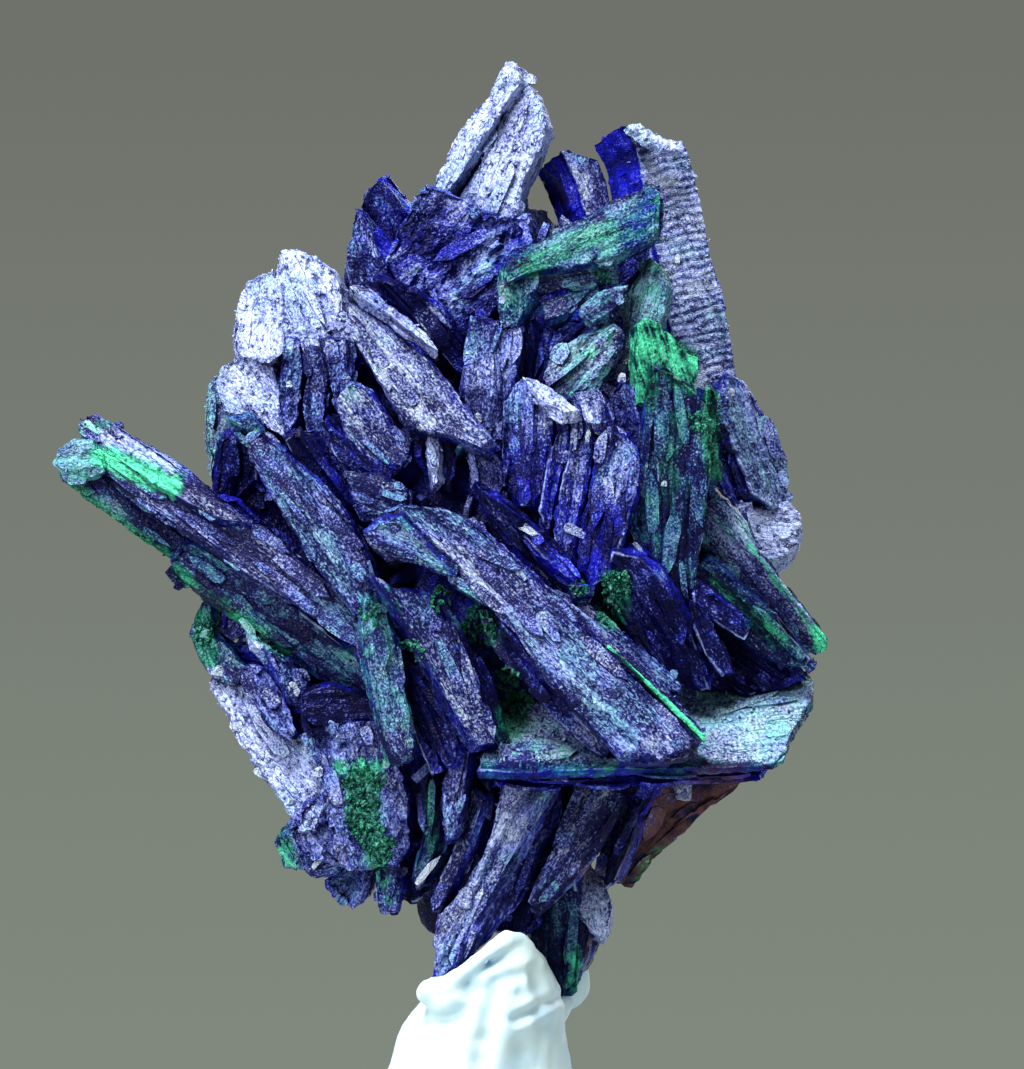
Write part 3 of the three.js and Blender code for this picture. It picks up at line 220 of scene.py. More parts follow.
leftPlates = [
    ("longUpper", "slate", -5.8, (-18, 12), 1.6, [(4.4, 22.8), (4.9, 22.4), (6.1, 22.6), (8, 23.7),
     (10.75, 24.9), (15, 28), (17.5, 30), (18.6, 32), (18.6, 32.8), (14.5, 30.1), (10, 27.3), (6, 24.4),
     (4.8, 23.3)]),
    ("longUpperBack", "slate", -4, (-18, 22), 1.5, [(3.8, 21.5), (4, 20.9), (4.6, 20.6), (5.25, 20.85),
     (8.25, 22.75), (11.1, 25), (12.4, 26.2), (10.75, 26), (6.25, 23.2), (4.25, 22.2)]),
    ("longTip", "paleTeal", -3.2, (-22, 0), 2.4, [(2.6, 23.2), (2.85, 22.5), (3.5, 22.05), (4.5, 22),
     (5, 22.7), (5.2, 23.6), (4.4, 24), (3.75, 24.2), (3.1, 24)]),
    ("longLowerTip", "moss", -2.8, (-18, -20), 1.8, [(2.8, 23.5), (4.6, 23.2), (5.75, 24.2), (9.5, 27),
     (10.4, 28.2), (8.75, 28.3), (7, 27.1), (4.2, 25.1), (3.2, 24.2)]),
    ("longLower", "moss", -5.4, (-18, -8), 1.8, [(8.4, 28.1), (9.1, 27.15), (9.9, 27.3), (14.7, 30.4),
     (18.6, 33.4), (18.6, 34.7), (17.5, 35.1), (14.1, 32.7), (10, 30), (9.1, 29.2), (8.6, 28.7)]),
    ("gapBlock", "azure", -4.6, (10, 0), 1.5, [(10.9, 24.8), (12, 25), (13.1, 26), (12.9, 27),
     (11.7, 26.5), (11, 25.7)]),
    ("frostLeft", "frostedAndGlinting", -2.6, (-28, 20), 2.6, [(11.8, 15), (12.25, 14.05), (13.1, 13.6),
     (13.7, 13.5), (14.2, 15), (14.2, 17.4), (13.4, 18.1), (11.6, 17.85), (11.5, 16.5)]),
    ("frostTop", "frostedAndGlinting", -3.4, (-12, 22), 3, [(13.75, 13.1), (13.9, 12.55), (14.5, 12.4), (15.6, 12.7),
     (16.8, 13.5), (17.05, 14.2), (17.1, 15.4), (18, 16.4), (17.5, 17.7), (16.8, 16.9), (16.1, 18),
     (15.4, 17.1), (14.9, 17.8), (14.2, 16.9), (13.7, 15)]),
    ("frostLower", "frostedAndGlinting", -3.2, (-22, 8), 2.4, [(11.1, 18.2), (11.9, 17.85), (13.5, 17.9), (14.2, 20),
     (14.2, 21.8), (12.9, 21.2), (12, 20.8), (11.1, 20.6), (10.7, 19.5)]),
    ("tealFlank", "paleTeal", -1.2, (-32, 5), 1.5, [(10.15, 20), (10.3, 19), (11.1, 18.3), (12.4, 18.4),
     (12.6, 21), (12, 23.5), (10.7, 24.6), (10.3, 23.9), (10.15, 22)]),
    ("flankNotch", "navy", -3, (0, -10), 1.8, [(10.9, 22), (11.6, 21.6), (12.8, 22.2), (12.8, 24),
     (11.6, 25.2), (10.6, 24.7)]),
    ("ribFirst", "dusk", -4.4, (-20, 0), 1.4, [(14.2, 16.8), (15, 17), (15.2, 19), (14.8, 21),
     (14.2, 21.8), (13.7, 20)]),
    ("ribSecond", "dusk", -5.2, (-15, 0), 1.4, [(15, 17), (15.9, 16.9), (16.5, 19), (16.2, 21),
     (17.2, 25), (16.5, 24.5), (15.6, 22.5), (15, 20.5), (15.3, 19)]),
    ("ribThird", "dusk", -5.4, (-10, 5), 1.5, [(16, 16.9), (17.4, 16.9), (17.8, 18.5), (17.2, 20),
     (16.7, 20.4), (16.4, 19)]),
    ("ribFourth", "dusk", -6.4, (-15, 10), 1.1, [(15.1, 21.6), (15.6, 21.4), (16.5, 23.2), (17.6, 25),
     (17.2, 25.4), (16.2, 24), (15.4, 22.7)]),
    ("lowerChip", "moss", -4.2, (-18, -8), 1, [(8.1, 28.7), (8.6, 28.3), (9.6, 29), (9.3, 29.5),
     (8.6, 29.3)]),
    # a navy plate put behind a gap, where the front shows only dark shade
    ("notchShade", "navy", -2.2, (0, 0), 2.2, [(11, 23.6), (13.4, 23.2), (15.4, 25.4), (15.2, 28),
     (12.8, 27), (11, 25.4)]),
    ("greenCap", "moss", -4.4, (-10, -10), 1.4, [(11.4, 21), (12.5, 20.8), (13.2, 21.6), (12.5, 22.4),
     (11.6, 21.6)]),
]

middlePlates = [
    ("silverBlade", "silver", -8, (-14, 18), 1.7, [(17.1, 15), (18.1, 15.3), (20, 16.6), (21.6, 18.1),
     (22.6, 19.6), (24.7, 22), (24.1, 22.5), (22.3, 21.7), (21, 21.65), (20.2, 21.2), (19.25, 19.75),
     (17.4, 16.6)]),
    ("whiteEdge", "frostedAndGlinting", -7.2, (10, 40), 0.9, [(17.5, 14.3), (18.5, 14.3), (19.8, 15.4), (21.1, 16.5),
     (21.9, 17.5), (20.8, 16.7), (19.5, 15.8), (18.1, 14.9)]),
    ("darkWing", "navy", -5.4, (5, -10), 1.5, [(18.8, 14), (19.75, 14.2), (21, 14.7), (22.1, 15.4),
     (22.9, 16.5), (23.6, 18), (23.3, 19.4), (22.5, 18.2), (20.5, 15.9), (19.2, 15)]),
    ("brightColumn", "lavender", -7.2, (-8, 6), 1.9, [(23.5, 15.8), (24.9, 16), (26, 16.2), (25.75, 18.2),
     (25.5, 20.2), (25.3, 22), (25, 23.3), (24.5, 22.6), (23.9, 21), (22.9, 19.9), (23.2, 17.9)]),
    ("columnFoot", "lavender", -8, (-15, 5), 1.7, [(23.2, 22), (24, 22.2), (25.2, 23.2), (25, 24.9),
     (24.1, 24.8), (23.4, 24.6)]),
    ("palePeg", "frostedAndGlinting", -8.4, (-5, 10), 1.5, [(21.3, 21.6), (22, 21.7), (22, 24.1), (21.6, 24.4),
     (21.4, 23.2)]),
    ("slabFirst", "ribbed", -8, (-12, 8), 1.5, [(25.2, 20.2), (25.6, 19.5), (26.3, 18.9), (27.6, 19.7),
     (27.75, 21.5), (26.8, 25.4), (25.9, 25.3), (25, 23.9)]),
    ("slabSecond", "ribbed", -8.5, (-14, 4), 1.5, [(27.8, 19.7), (28.4, 20), (28.45, 22), (28, 24.1),
     (27.4, 26.8), (27, 25.6), (27.35, 23.5), (27.85, 21.5)]),
    ("slabThird", "ribbed", -8.9, (-14, 4), 1.6, [(28.6, 20), (29.7, 20.3), (29.65, 22), (28.8, 26.6),
     (28.6, 28.3), (28, 27.6), (27.6, 26.5), (28.15, 24.1), (28.6, 22)]),
    ("slabFourth", "ribbed", -9.4, (-14, 4), 1.8, [(30, 20), (30.6, 21.2), (31.3, 22), (32.05, 23.3),
     (31.85, 24.7), (30.4, 28.9), (29.5, 29.4), (28.9, 28.4), (29.1, 26), (29.95, 22)]),
    ("slabLedge", "frostedAndGlinting", -8.6, (0, 48), 1.1, [(26.1, 18.8), (26.9, 18.9), (28.1, 19.8), (28.9, 20.5),
     (28.1, 20.6), (26.9, 19.9)]),
    ("slabShoulder", "lavender", -8.8, (-10, 25), 1.4, [(28.6, 19.7), (29.9, 19.4), (30.3, 20.1),
     (30.1, 21.3), (29.2, 21.2)]),
    ("rearSlab", "dusk", -7.6, (-10, 0), 1.6, [(30.2, 20.3), (31, 19), (32, 19.5), (32.4, 21.5),
     (32.2, 23.5), (31.2, 22.4), (30.6, 21.2)]),
    ("slantFin", "navy", -9.6, (10, -20), 1.2, [(23.9, 24.4), (25, 25.1), (27, 26.6), (28.1, 27.6),
     (29.1, 28.9), (29.3, 29.8), (28.5, 30), (27.2, 28.8), (25.6, 27.2), (24.4, 25.9)]),
    ("pitWall", "navy", -8, (-10, 0), 1.7, [(30, 28.5), (31.4, 28), (32.2, 29.5), (32, 31.2), (31.2, 32),
     (30, 31.4), (29.3, 30)]),
    ("shadedSlab", "slate", -7.4, (-5, 8), 1.6, [(16.7, 20.1), (17.5, 19), (18.6, 19.5), (19.75, 21.2),
     (20.6, 22.7), (20, 23.6), (18.2, 22.8), (17.2, 22)]),
    ("blueWedge", "navy", -7.8, (-10, -15), 1.4, [(16.2, 21), (17.2, 22), (18.5, 22.9), (20, 23.3),
     (19.4, 24.2), (17.5, 23.8), (16.6, 22.5)]),
    ("throatSlab", "slate", -8.8, (-8, 10), 1.7, [(17.2, 23.5), (19, 23.7), (20.4, 24.4), (20.4, 25.6),
     (18.7, 26), (18.1, 26), (17.5, 24.9)]),
    ("darkPeg", "navy", -7.8, (10, 0), 1.4, [(22.1, 21.8), (22.8, 21.9), (22.6, 24.7), (22.1, 24.6)]),
    ("slantFinFront", "azure", -10.2, (0, 22), 0.9, [(25.6, 26.2), (27, 26.6), (28.2, 27.8), (29.1, 28.9),
     (28.7, 29.2), (27.4, 28.2)]),
    ("tealTip", "moss", -11, (0, 20), 1.2, [(28.3, 29.2), (29.6, 29.1), (29.6, 29.8), (28.6, 30)]),
]

lowerPlates = [
    ("cornerHook", "teal", -3.6, (-20, 0), 1.6, [(10, 30.2), (10.6, 30.1), (10.5, 31.6), (11.4, 32.5),
     (12.2, 33.4), (11.8, 34.2), (10.5, 34), (9.8, 33), (9.45, 32), (9.65, 31)]),
    ("leftFlank", "frostedAndGlinting", -5, (-28, 8), 2.2, [(10.3, 33.6), (12, 33.4), (15, 36.6), (16.6, 38.2),
     (16.5, 40), (15.6, 41.5), (14.9, 41.6), (14, 40), (13.1, 38.9), (12.2, 37.6), (11.2, 35.8),
     (10.4, 34.5)]),
    ("flankBlock", "dusk", -6.2, (-10, 5), 1.8, [(12, 33.4), (13.1, 33.3), (13.8, 34), (14.35, 35.1),
     (14.8, 36.6), (14.5, 37), (13.5, 36.4), (12.7, 35.3)]),
    ("blueStep", "navy", -7.4, (0, -10), 2, [(15, 34.8), (16.5, 34.3), (18.4, 34.8), (18.9, 36.3),
     (16.7, 36.8), (15.3, 37)]),
    ("lowerMass", "druse", -7, (-12, -5), 4.6, [(15, 36.8), (16.5, 36.1), (18.7, 36), (19.7, 38.2),
     (20.4, 40), (20.4, 42.5), (19.7, 43.4), (17.5, 43.6), (15, 42.9), (14.2, 41.8), (15, 40.5),
     (16.2, 39.5), (15.7, 38.2)]),
    ("cornerFoot", "teal", -3.8, (-25, -10), 2, [(13.7, 42.2), (14, 41.4), (14.7, 41.1), (15.4, 42.2),
     (16.2, 43.1), (15, 43.6), (14, 43.4)]),
    ("baseChipLeft", "dusk", -6, (0, -15), 1.6, [(14.9, 43), (17.2, 42.2), (17.8, 43.1), (16.7, 44),
     (15.7, 44.1)]),
    ("baseChipMiddle", "dusk", -4.6, (-10, -20), 2.2, [(16.2, 44.2), (17.4, 43), (18.8, 43), (18.4, 45.1),
     (17.6, 45.6), (16.7, 45)]),
    ("baseChipRight", "dusk", -6.4, (-5, -5), 1.8, [(18.7, 43.4), (19.4, 42.7), (20.2, 42.9),
     (20.2, 44.5), (19.9, 45.7), (19.2, 45.8), (18.8, 45)]),
    ("baseDark", "navy", -5.6, (20, -15), 2.4, [(19.2, 38), (20.6, 37.9), (21.2, 40), (21.2, 42.5),
     (21.6, 44.6), (20.5, 45.2), (19.9, 45), (19.8, 43), (19.6, 40)]),
    ("tealSliver", "moss", -7.6, (-15, -5), 2.6, [(21.6, 38.6), (22.1, 40), (22.2, 41.7), (22, 42.6),
     (21.2, 44.1), (20.8, 44.5), (20.5, 44), (20.9, 42.4), (21.2, 40.7)]),
    ("greyTongue", "slate", -9.4, (-10, 5), 1.6, [(23.1, 37.2), (23.5, 37.6), (23.35, 39.1), (23.2, 40.2),
     (22.8, 41.9), (22.3, 42.1), (22, 40.6), (22, 39.2), (22.5, 38)]),
    ("thinShard", "slate", -8.2, (-25, 5), 1.1, [(23.6, 39.4), (24.2, 40), (23.4, 42.5), (22, 45.8),
     (21.6, 45.6), (21.7, 44.6), (22.4, 43.1), (23.1, 41.5)]),
    ("stemBlade", "lavender", -8.4, (-14, 8), 2.2, [(25, 38.6), (27, 38.2), (27.6, 39.2), (26, 42.2),
     (23.9, 46), (22.9, 48.1), (22.4, 49), (21.8, 48.8), (21.65, 47.2), (21.9, 45.7), (23.2, 44.5),
     (24.3, 42.7), (24.8, 41)]),
    ("stemBladeDark", "striated", -7.4, (28, 0), 2.4, [(27.2, 38.4), (28.2, 39), (28.1, 40.7),
     (27.4, 42.5), (26.5, 44.5), (25.7, 45.7), (23.5, 48.2), (22.7, 49.2), (23, 47.2), (24.2, 44.7),
     (25.6, 42.4), (26.8, 40.4)]),
    ("broadTooth", "slate", -7.2, (-6, 6), 1.9, [(29, 38.4), (30.6, 38.6), (31.05, 39.6), (30.8, 40.7),
     (29.9, 42.3), (28.8, 43.8), (26.8, 45.7), (26.4, 45.1), (26.7, 44.1), (28.4, 40.9)]),
    ("blueTooth", "navy", -5.4, (-15, -10), 1.8, [(30.8, 39.4), (31.9, 40.4), (31.7, 41.9), (30.8, 44),
     (30.3, 44.5), (29.6, 43.8), (30.1, 42.1)]),
    ("darkRoot", "moss", -3.6, (-20, -22), 2.6, [(26.4, 46.2), (26.6, 43.6), (28.6, 43), (28.9, 45.4),
     (29.5, 46.7), (29.35, 47.7), (28.8, 49.2), (28.1, 50), (27.5, 49.4), (26.9, 48.2), (26.3, 47.2)]),
    # a navy plate put behind a gap, where the front shows only dark shade
    ("rootShade", "navy", -5, (0, 0), 2, [(24.8, 43.4), (27.2, 43), (27, 46.2), (26, 46.9), (24.8, 46.6)]),
    ("whitePebble", "frostedAndGlinting", -4.4, (0, 15), 2, [(28.6, 43.2), (29.6, 43.4), (30.4, 44.3), (30.65, 45.2),
     (30.5, 46.3), (30.2, 46.85), (29.6, 46.6), (28.9, 45.8), (28.5, 44.7)]),
    ("brownShelf", "earthy", -3.4, (20, -25), 2, [(32, 37.9), (36.1, 38), (38.5, 38.3), (37.1, 39.4),
     (35.4, 40.6), (34.1, 41.9), (32.7, 43.1), (31.8, 44.4), (30.9, 44.3), (30.9, 42.6), (31.4, 40.6)]),
    ("shelfBlue", "azure", -5.4, (0, -20), 1.6, [(31, 38.2), (33.6, 38.2), (33, 40), (32, 41.2),
     (31, 40.5)]),
    ("flankTab", "dusk", -6.5, (15, 5), 1.4, [(13.3, 32.4), (14.6, 33), (15.6, 34), (15.55, 35),
     (15.1, 35.7), (14.5, 35.3), (14, 34.2)]),
    ("whiteSplinter", "frostedAndGlinting", -5.7, (0, 30), 1.1, [(12, 30.6), (12.8, 31.6), (14.3, 32.8),
     (13.5, 33.2), (12.5, 32.1)]),
    ("shelfTab", "frostedAndGlinting", -4.8, (0, 0), 1.4, [(33.6, 38.4), (34.5, 38.4), (34.5, 40), (33.8, 39.9)]),
]

# Streaks on the sheet that take another tint: start, end, radius, tint, strength. A frost streak
# lays pale crust that is partly painted glints, and so brightens the blade there.
streaks = [
    ((5, 22.9), (8.6, 24.3), 0.75, "mint", 0.78), ((3.9, 21.2), (8.5, 23.2), 0.7, "frost", 0.75),
    ((3.2, 21.4), (5.2, 21.3), 0.5, "mint", 0.4), ((3.1, 23.4), (4, 23.9), 0.6, "mint", 0.4),
    ((10.5, 19.4), (10.6, 22.4), 0.8, "mint", 0.25), ((3.4, 24.4), (8.2, 27.8), 0.45, "green", 0.8),
    ((8.8, 28.6), (14.2, 32.6), 0.5, "green", 0.8), ((32.4, 16.6), (34.6, 18), 0.6, "emerald", 1),
    ((32.2, 17), (32.4, 19.6), 0.5, "emerald", 1), ((33.2, 18.6), (34.6, 19.6), 0.3, "emerald", 0.7),
    ((33.8, 21), (33.4, 25), 0.8, "green", 0.5), ((35.5, 19.8), (35.7, 23.6), 0.6, "green", 0.9),
    ((26.4, 13.4), (30.4, 11.4), 0.9, "green", 0.65), ((21, 12), (25.6, 12.6), 1.5, "azure", 0.8),
    ((28.2, 11.8), (29, 12.8), 0.8, "mint", 0.15), ((26, 12.6), (26.4, 13.4), 0.6, "mint", 0.2),
    ((31.6, 11.9), (32.6, 10), 0.9, "azure", 1), ((25.2, 14), (25.6, 15), 0.6, "mint", 0.35),
    ((30.2, 16.8), (28.6, 19.4), 0.9, "mint", 0.3), ((32.9, 13.3), (33.2, 14.8), 0.5, "mint", 0.4),
    ((37.4, 27.2), (41.2, 32.2), 0.2, "mint", 0.6), ((40.8, 31.6), (41.1, 32.4), 0.4, "mint", 0.9),
    ((35.6, 28.9), (40, 32.8), 0.3, "emerald", 0.9), ((38, 31), (39, 32), 0.9, "green", 0.6),
    ((18.1, 38.7), (18.2, 41.2), 0.9, "green", 1), ((18.8, 42.2), (18.9, 43), 0.7, "green", 0.9),
    ((17, 38.4), (19.2, 38.2), 0.5, "mint", 0.5), ((19, 43.6), (19.4, 45), 0.5, "mint", 0.4),
    ((14, 41.6), (14.4, 43), 0.6, "mint", 0.5), ((10.2, 31), (10.4, 32.8), 0.9, "green", 0.8),
    ((11, 33.4), (11.4, 33.8), 0.6, "mint", 0.3), ((25.5, 35.2), (25.7, 36.4), 0.9, "green", 0.9),
    ((25, 37.4), (27.4, 37.8), 0.7, "mint", 0.2), ((30.8, 29.2), (30.6, 30.8), 0.8, "green", 1),
    ((20, 25.9), (21, 27.2), 0.5, "mint", 0.2), ((18.2, 29.6), (18.4, 34), 0.3, "mint", 0.3),
    ((18.9, 30.4), (19.4, 33), 0.8, "green", 0.5), ((19.4, 29.4), (20.2, 31), 0.25, "mint", 0.35),
    ((21.4, 39.6), (21.6, 42.6), 0.5, "green", 0.6), ((28.7, 47.6), (28.7, 49.4), 0.6, "mint", 0.5),
    ((23.4, 30.4), (24.4, 32), 1, "green", 0.6), ((33, 42.6), (32.2, 43.8), 0.8, "green", 0.7),
    ((33.6, 41.4), (36, 39.4), 1.3, "rust", 0.8), ((29.4, 43.6), (29.8, 44), 0.4, "rust", 1),
    ((28.2, 42.4), (30.2, 39.4), 0.8, "frost", 0.56), ((25.1, 14.4), (25.3, 14.8), 0.3, "rust", 0.6),
    ((27.2, 22.8), (26.8, 25.4), 1, "azure", 0.8), ((30.8, 25.6), (29.4, 29), 0.9, "azure", 1),
    ((25.6, 23.4), (29.4, 26.8), 1.5, "azure", 0.75), ((27.8, 20.4), (29.4, 21.4), 1.2, "frost", 0.6),
    ((31.4, 22.4), (30.6, 24.6), 1, "frost", 0.7), ((24, 38.6), (38, 38.6), 0.5, "azure", 1),
    ((35.8, 25.8), (40.4, 31.2), 1.2, "frost", 0.6), ((19, 26), (22, 27.4), 1.2, "frost", 0.56),
    ((27, 36.6), (34, 37.4), 0.9, "frost", 0.5), ((25.4, 2.9), (24.4, 5), 1.6, "frost", 0.92),
    ((32, 6.2), (34.6, 7.2), 1, "frost", 1.1), ((11.8, 15), (13, 17.4), 1.4, "frost", 0.95),
    ((14.4, 12.6), (16.6, 14), 1.2, "frost", 0.95), ((10.8, 34), (13.8, 39), 0.8, "frost", 1.05),
    ((38, 26), (40, 27), 1.8, "frost", 1.15), ((29.2, 43.8), (30.4, 46.4), 1, "frost", 0.9),
    ((26.2, 39.6), (23.4, 44.6), 0.6, "frost", 0.85), ((22, 27.2), (30, 35.4), 0.7, "frost", 0.6),
    ((17.4, 15.4), (21.4, 21.2), 0.6, "frost", 0.7), ((13, 22.6), (16.8, 28), 0.4, "frost", 0.6),
    ((19.4, 14), (24, 15.6), 2, "azure", 0.5), ((36, 15), (36.9, 19), 0.5, "azure", 0.6),
    ((14.6, 17.2), (17, 17.2), 0.8, "frost", 0.75), ((21.6, 16.4), (24.8, 12), 1, "frost", 0.62),
]

# Plates of the front that the back repeats upside down, turned about a level axis.
backNames = [
    "mainBlade", "mainBladeStrip", "mainBladeShoulder", "mossBlade", "frontFang", "frontFangBack",
    "frontTooth", "leftLance", "darkLance", "silverBlade", "whiteEdge", "brightColumn", "slabFirst",
    "slabThird", "slabFourth", "rearSlab", "shadedSlab", "slantFin",
]
backTurn = {"y": -2, "z": 34.6, "shift": -1.6}

# The core that the blades grow from: middle, half sizes and turn, in mm.
coreLumps = [
    ((-1.6, -0.2, 36.5), (8.4, 5, 10.4), 0.3),
    ((2.2, -1, 29.4), (7.6, 5, 8.4), 1.1),
    ((-0.4, -2.2, 22.4), (6, 4.2, 7.4), 2.2),
    ((0.6, 0.4, 44), (6.6, 3.8, 6.2), 0.8),
    ((0.4, -3.9, 33), (8.4, 3.4, 8.8), 2.8),
]

# Hidden blades that carry the front ones: tip on the sheet, its depth, width, and roll in degrees.
carrierBlades = [
    (24.6, 29.5, -11.2, 3.4, 40), (29.8, 34.6, -11.2, 3.6, -30), (20, 33.6, -9.8, 3, 50),
    (16.4, 28, -7.4, 3.2, -50), (33.4, 25.2, -8.4, 3.2, 80), (20.6, 18.8, -7, 3.2, -40),
    (38, 30.4, -5.6, 3, 20), (24.4, 42.6, -7, 3, 75), (37.4, 25.6, -2.8, 5.4, 15),
    (11.6, 33.2, -3, 5, -20), (36, 30.2, -3.4, 5, 60),
]

bundleSet = {
    "count": 9, "reach": (12.6, 10, 15.4), "middle": (-1, -1, 33.6), "lean": (-0.1, 0.72),
    "roots": (3.5, 2.8, 7), "climb": 6, "lengths": (0.84, 1, 0.9), "spacing": 1.9, "flare": 1.25,
    "firstAngle": 0.4, "seed": 20257,
}

meshing = {
    "along": 0.16,       # mm between the cuts across a blade
    "across": 0.12,      # mm between the cuts along it
    "chamfer": 0.06,
    "layer": 0.34,       # mm from one sheet of a blade's side to the next
}

# The small crystals that stand on every blade, in mm; rates are per square mm or per mm of edge.
dressing = {
    "grainRate": 11, "grainRadius": (0.04, 0.09), "grainLength": (1.4, 3),
    "splinterRate": 0.4, "splinterLength": (1, 4), "splinterWidth": (0.24, 0.8),
    "splinterThick": (0.1, 0.3),
    "edgeRate": 0.55, "edgeProud": (0.02, 0.16), "seed": 411,
}
splinters = []   # which form, its place, its size, tint and rust
grains = []
trees = {}       # where rays meet each piece
chance = random.Random(dressing["seed"])


class Dice:  # the same draws as the solids' own side blades
    def __init__(self, seed):
        self.state = seed

    def roll(self):
        self.state = (self.state * 16807) % 2147483647
        return self.state / 2147483647


def longAxis(points):
    spread = np.array(points) - np.mean(points, axis=0)
    values, vectors = np.linalg.eigh(spread.T @ spread)
    axis = vectors[:, 1]
    return Vector((axis[0], axis[1], 0)) * (1 if axis[1] > 0 else -1)


def cutAcross(bm, normal, low, high, step):
    count = max(int((high - low) / step), 1)
    for i in range(1, count):
        place = normal * (low + (high - low) * i / count)
        everything = bm.verts[:] + bm.edges[:] + bm.faces[:]
        bmesh.ops.bisect_plane(bm, geom=everything, dist=0.004, plane_co=place, plane_no=normal)


def outlineDistance(places, points):
    # mm from each place on the sheet to the nearest edge of the outline
    best = np.full(len(places), 1e9)
    corners = np.array(points)
    for start, end in zip(corners, np.roll(corners, -1, axis=0)):
        run = end - start
        t = np.clip(((places - start) @ run) / max(run @ run, 1e-9), 0, 1)
        gap = np.linalg.norm(places - start - t[:, None] * run, axis=1)
        best = np.minimum(best, gap)
    return best


def slabForm(points, thick, chamfer, taper):
    bm = bmesh.new()
    face = bm.faces.new([bm.verts.new((x, y, 0)) for x, y in points])
    face.normal_update()
    if face.normal.z < 0:
        face.normal_flip()
    made = bmesh.ops.extrude_face_region(bm, geom=[face])
    moved = [item for item in made["geom"] if isinstance(item, bmesh.types.BMVert)]
    bmesh.ops.translate(bm, verts=moved, vec=(0, 0, -thick))
    bmesh.ops.scale(bm, verts=moved, vec=(taper, taper, 1))
    bmesh.ops.recalc_face_normals(bm, faces=bm.faces)
    rims = [edge for edge in bm.edges if abs(edge.verts[0].co.z - edge.verts[1].co.z) < 1e-6]
    bmesh.ops.bevel(bm, geom=rims, offset=chamfer, affect="EDGES", segments=1, profile=0.5,
                    material=-1, clamp_overlap=True)
    return bm


def rippleWave(u, v, place):
    return math.sin(u * 15 + 5 * noise.noise(place * 0.5) + 2 * noise.noise(place * 1.9))


def bendAt(place):
    # three plain noise values, because noise.noise_vector gives other values at each run
    return Vector([noise.noise(place + Vector((away, 0, 0))) for away in (9.3, 0, -8.7)])


def shapeSurface(bm, axis, look, seed, thick):
    # growth steps, ridges, grain, pits and a ragged outline, all along the blade's own axis
    side = Vector((-axis.y, axis.x, 0))
    shift = Vector((seed * 7.31, seed * 3.17, seed * 1.93))
    bm.normal_update()
    moves = []
    across = [vert.co.dot(side) for vert in bm.verts]
    width = max(across) - min(across)
    crest = (max(across) + min(across)) / 2 + width * 0.3 * math.sin(seed * 2.1)
    slopes = (0.04 + 0.12 * (seed * 0.618 % 1), 0.08 + 0.2 * (seed * 0.382 % 1))
    blocks = look["blocks"]
    for vert in bm.verts:
        u = vert.co.dot(axis)
        v = vert.co.dot(side)
        w = vert.co.z
        normal = vert.normal.copy()
        flat = abs(normal.z)
        stretched = Vector((u * 0.16, v * 1.5, w * 0.6)) + shift
        ridge = noise.noise(Vector((u * 0.3, v * 4.2, w)) + shift)
        terrace = noise.noise(stretched) * 1.6 + noise.noise(stretched * 2.7) * 0.5
        step = (math.floor(terrace * 3) / 3) * look["steps"]
        place = Vector((u, v, w)) + shift
        grain = noise.noise(place * 2.9) * 0.7 + noise.noise(place * 6.1) * 0.5
        lift = step * flat + ridge * look["ridges"] + grain * look["grain"]
        pit = noise.noise(place * 1.25)
        lift -= max(pit - 0.22, 0) * 3 * look["pits"]
        if normal.z > 0.3:  # two facets that meet in a crest along the blade
            lift -= min(abs(v - crest) * slopes[v < crest], thick * 0.4) * look["crest"]
        if blocks:
            bent = place + bendAt(place * 1.3) * 0.3
            cell = Vector((bent.x * 0.9 + bent.y * 0.7, bent.y * 1.2 - bent.x * 0.5, bent.z))
            block = noise.cell(cell * 1.1)
            lift += (block - 0.5) * blocks * flat
        if look["ripple"]:
            lift += rippleWave(u, v, place) * look["ripple"] * flat
        ragged = 0.6 * noise.noise(place * 0.9) + 0.45 * noise.noise(place * 2.6)
        outward = Vector((normal.x, normal.y, 0)) * ragged * look["ragged"]
        layer = noise.noise(Vector((w * 4.5, u * 0.25, v * 0.25)) + shift)
        ledge = (math.floor(layer * 3) / 3 + 0.1) * 0.24 * (1 - flat)
        moves.append(normal * (lift + ledge) + outward)
    for vert, move in zip(bm.verts, moves):
        vert.co += move


def writeMarks(bm, axis, look, seed, points, place):
    # the blade's own coordinates, its tints and how near its rim each vertex is
    side = Vector((-axis.y, axis.x, 0))
    grainPlace = bm.verts.layers.float_vector.new("bladePlace")
    tint = bm.verts.layers.float_color.new("tint")
    marks = bm.verts.layers.float_vector.new("marks")
    coords = np.array([vert.co[:] for vert in bm.verts])
    rim = np.exp(-outlineDistance(coords[:, :2], points) / 0.28)
    rust = look["rust"]
    stretch = look["stretch"]
    shift = Vector((seed * 7.31, seed * 3.17, seed * 1.93))
    bm.normal_update()
    for vert, near in zip(bm.verts, rim):
        local = Vector((vert.co.dot(axis) * stretch, vert.co.dot(side), vert.co.z))
        vert[grainPlace] = local + shift
        wall = 1 - abs(vert.normal.z)
        frost = look["frost"] * (1 - look["bare"] * min(wall * 1.5, 1))
        if look["ripple"]:
            frost += 0.22 * rippleWave(vert.co.dot(axis), vert.co.dot(side), vert.co + shift) * (1 - wall)
        vert[tint] = (frost, look["green"], look["azure"], look["mint"])
        vert[marks] = (near * min(max(1 + vert.co.z / 0.3, 0), 1), rust, wall)
    bm.transform(place)


def insideOutline(x, y, points):
    inside = False
    for (x0, y0), (x1, y1) in zip(points, points[1:] + points[:1]):
        if (y0 > y) != (y1 > y) and x < (x1 - x0) * (y - y0) / (y1 - y0) + x0:
            inside = not inside
    return inside


def between(pair):
    return pair[0] + (pair[1] - pair[0]) * chance.random()


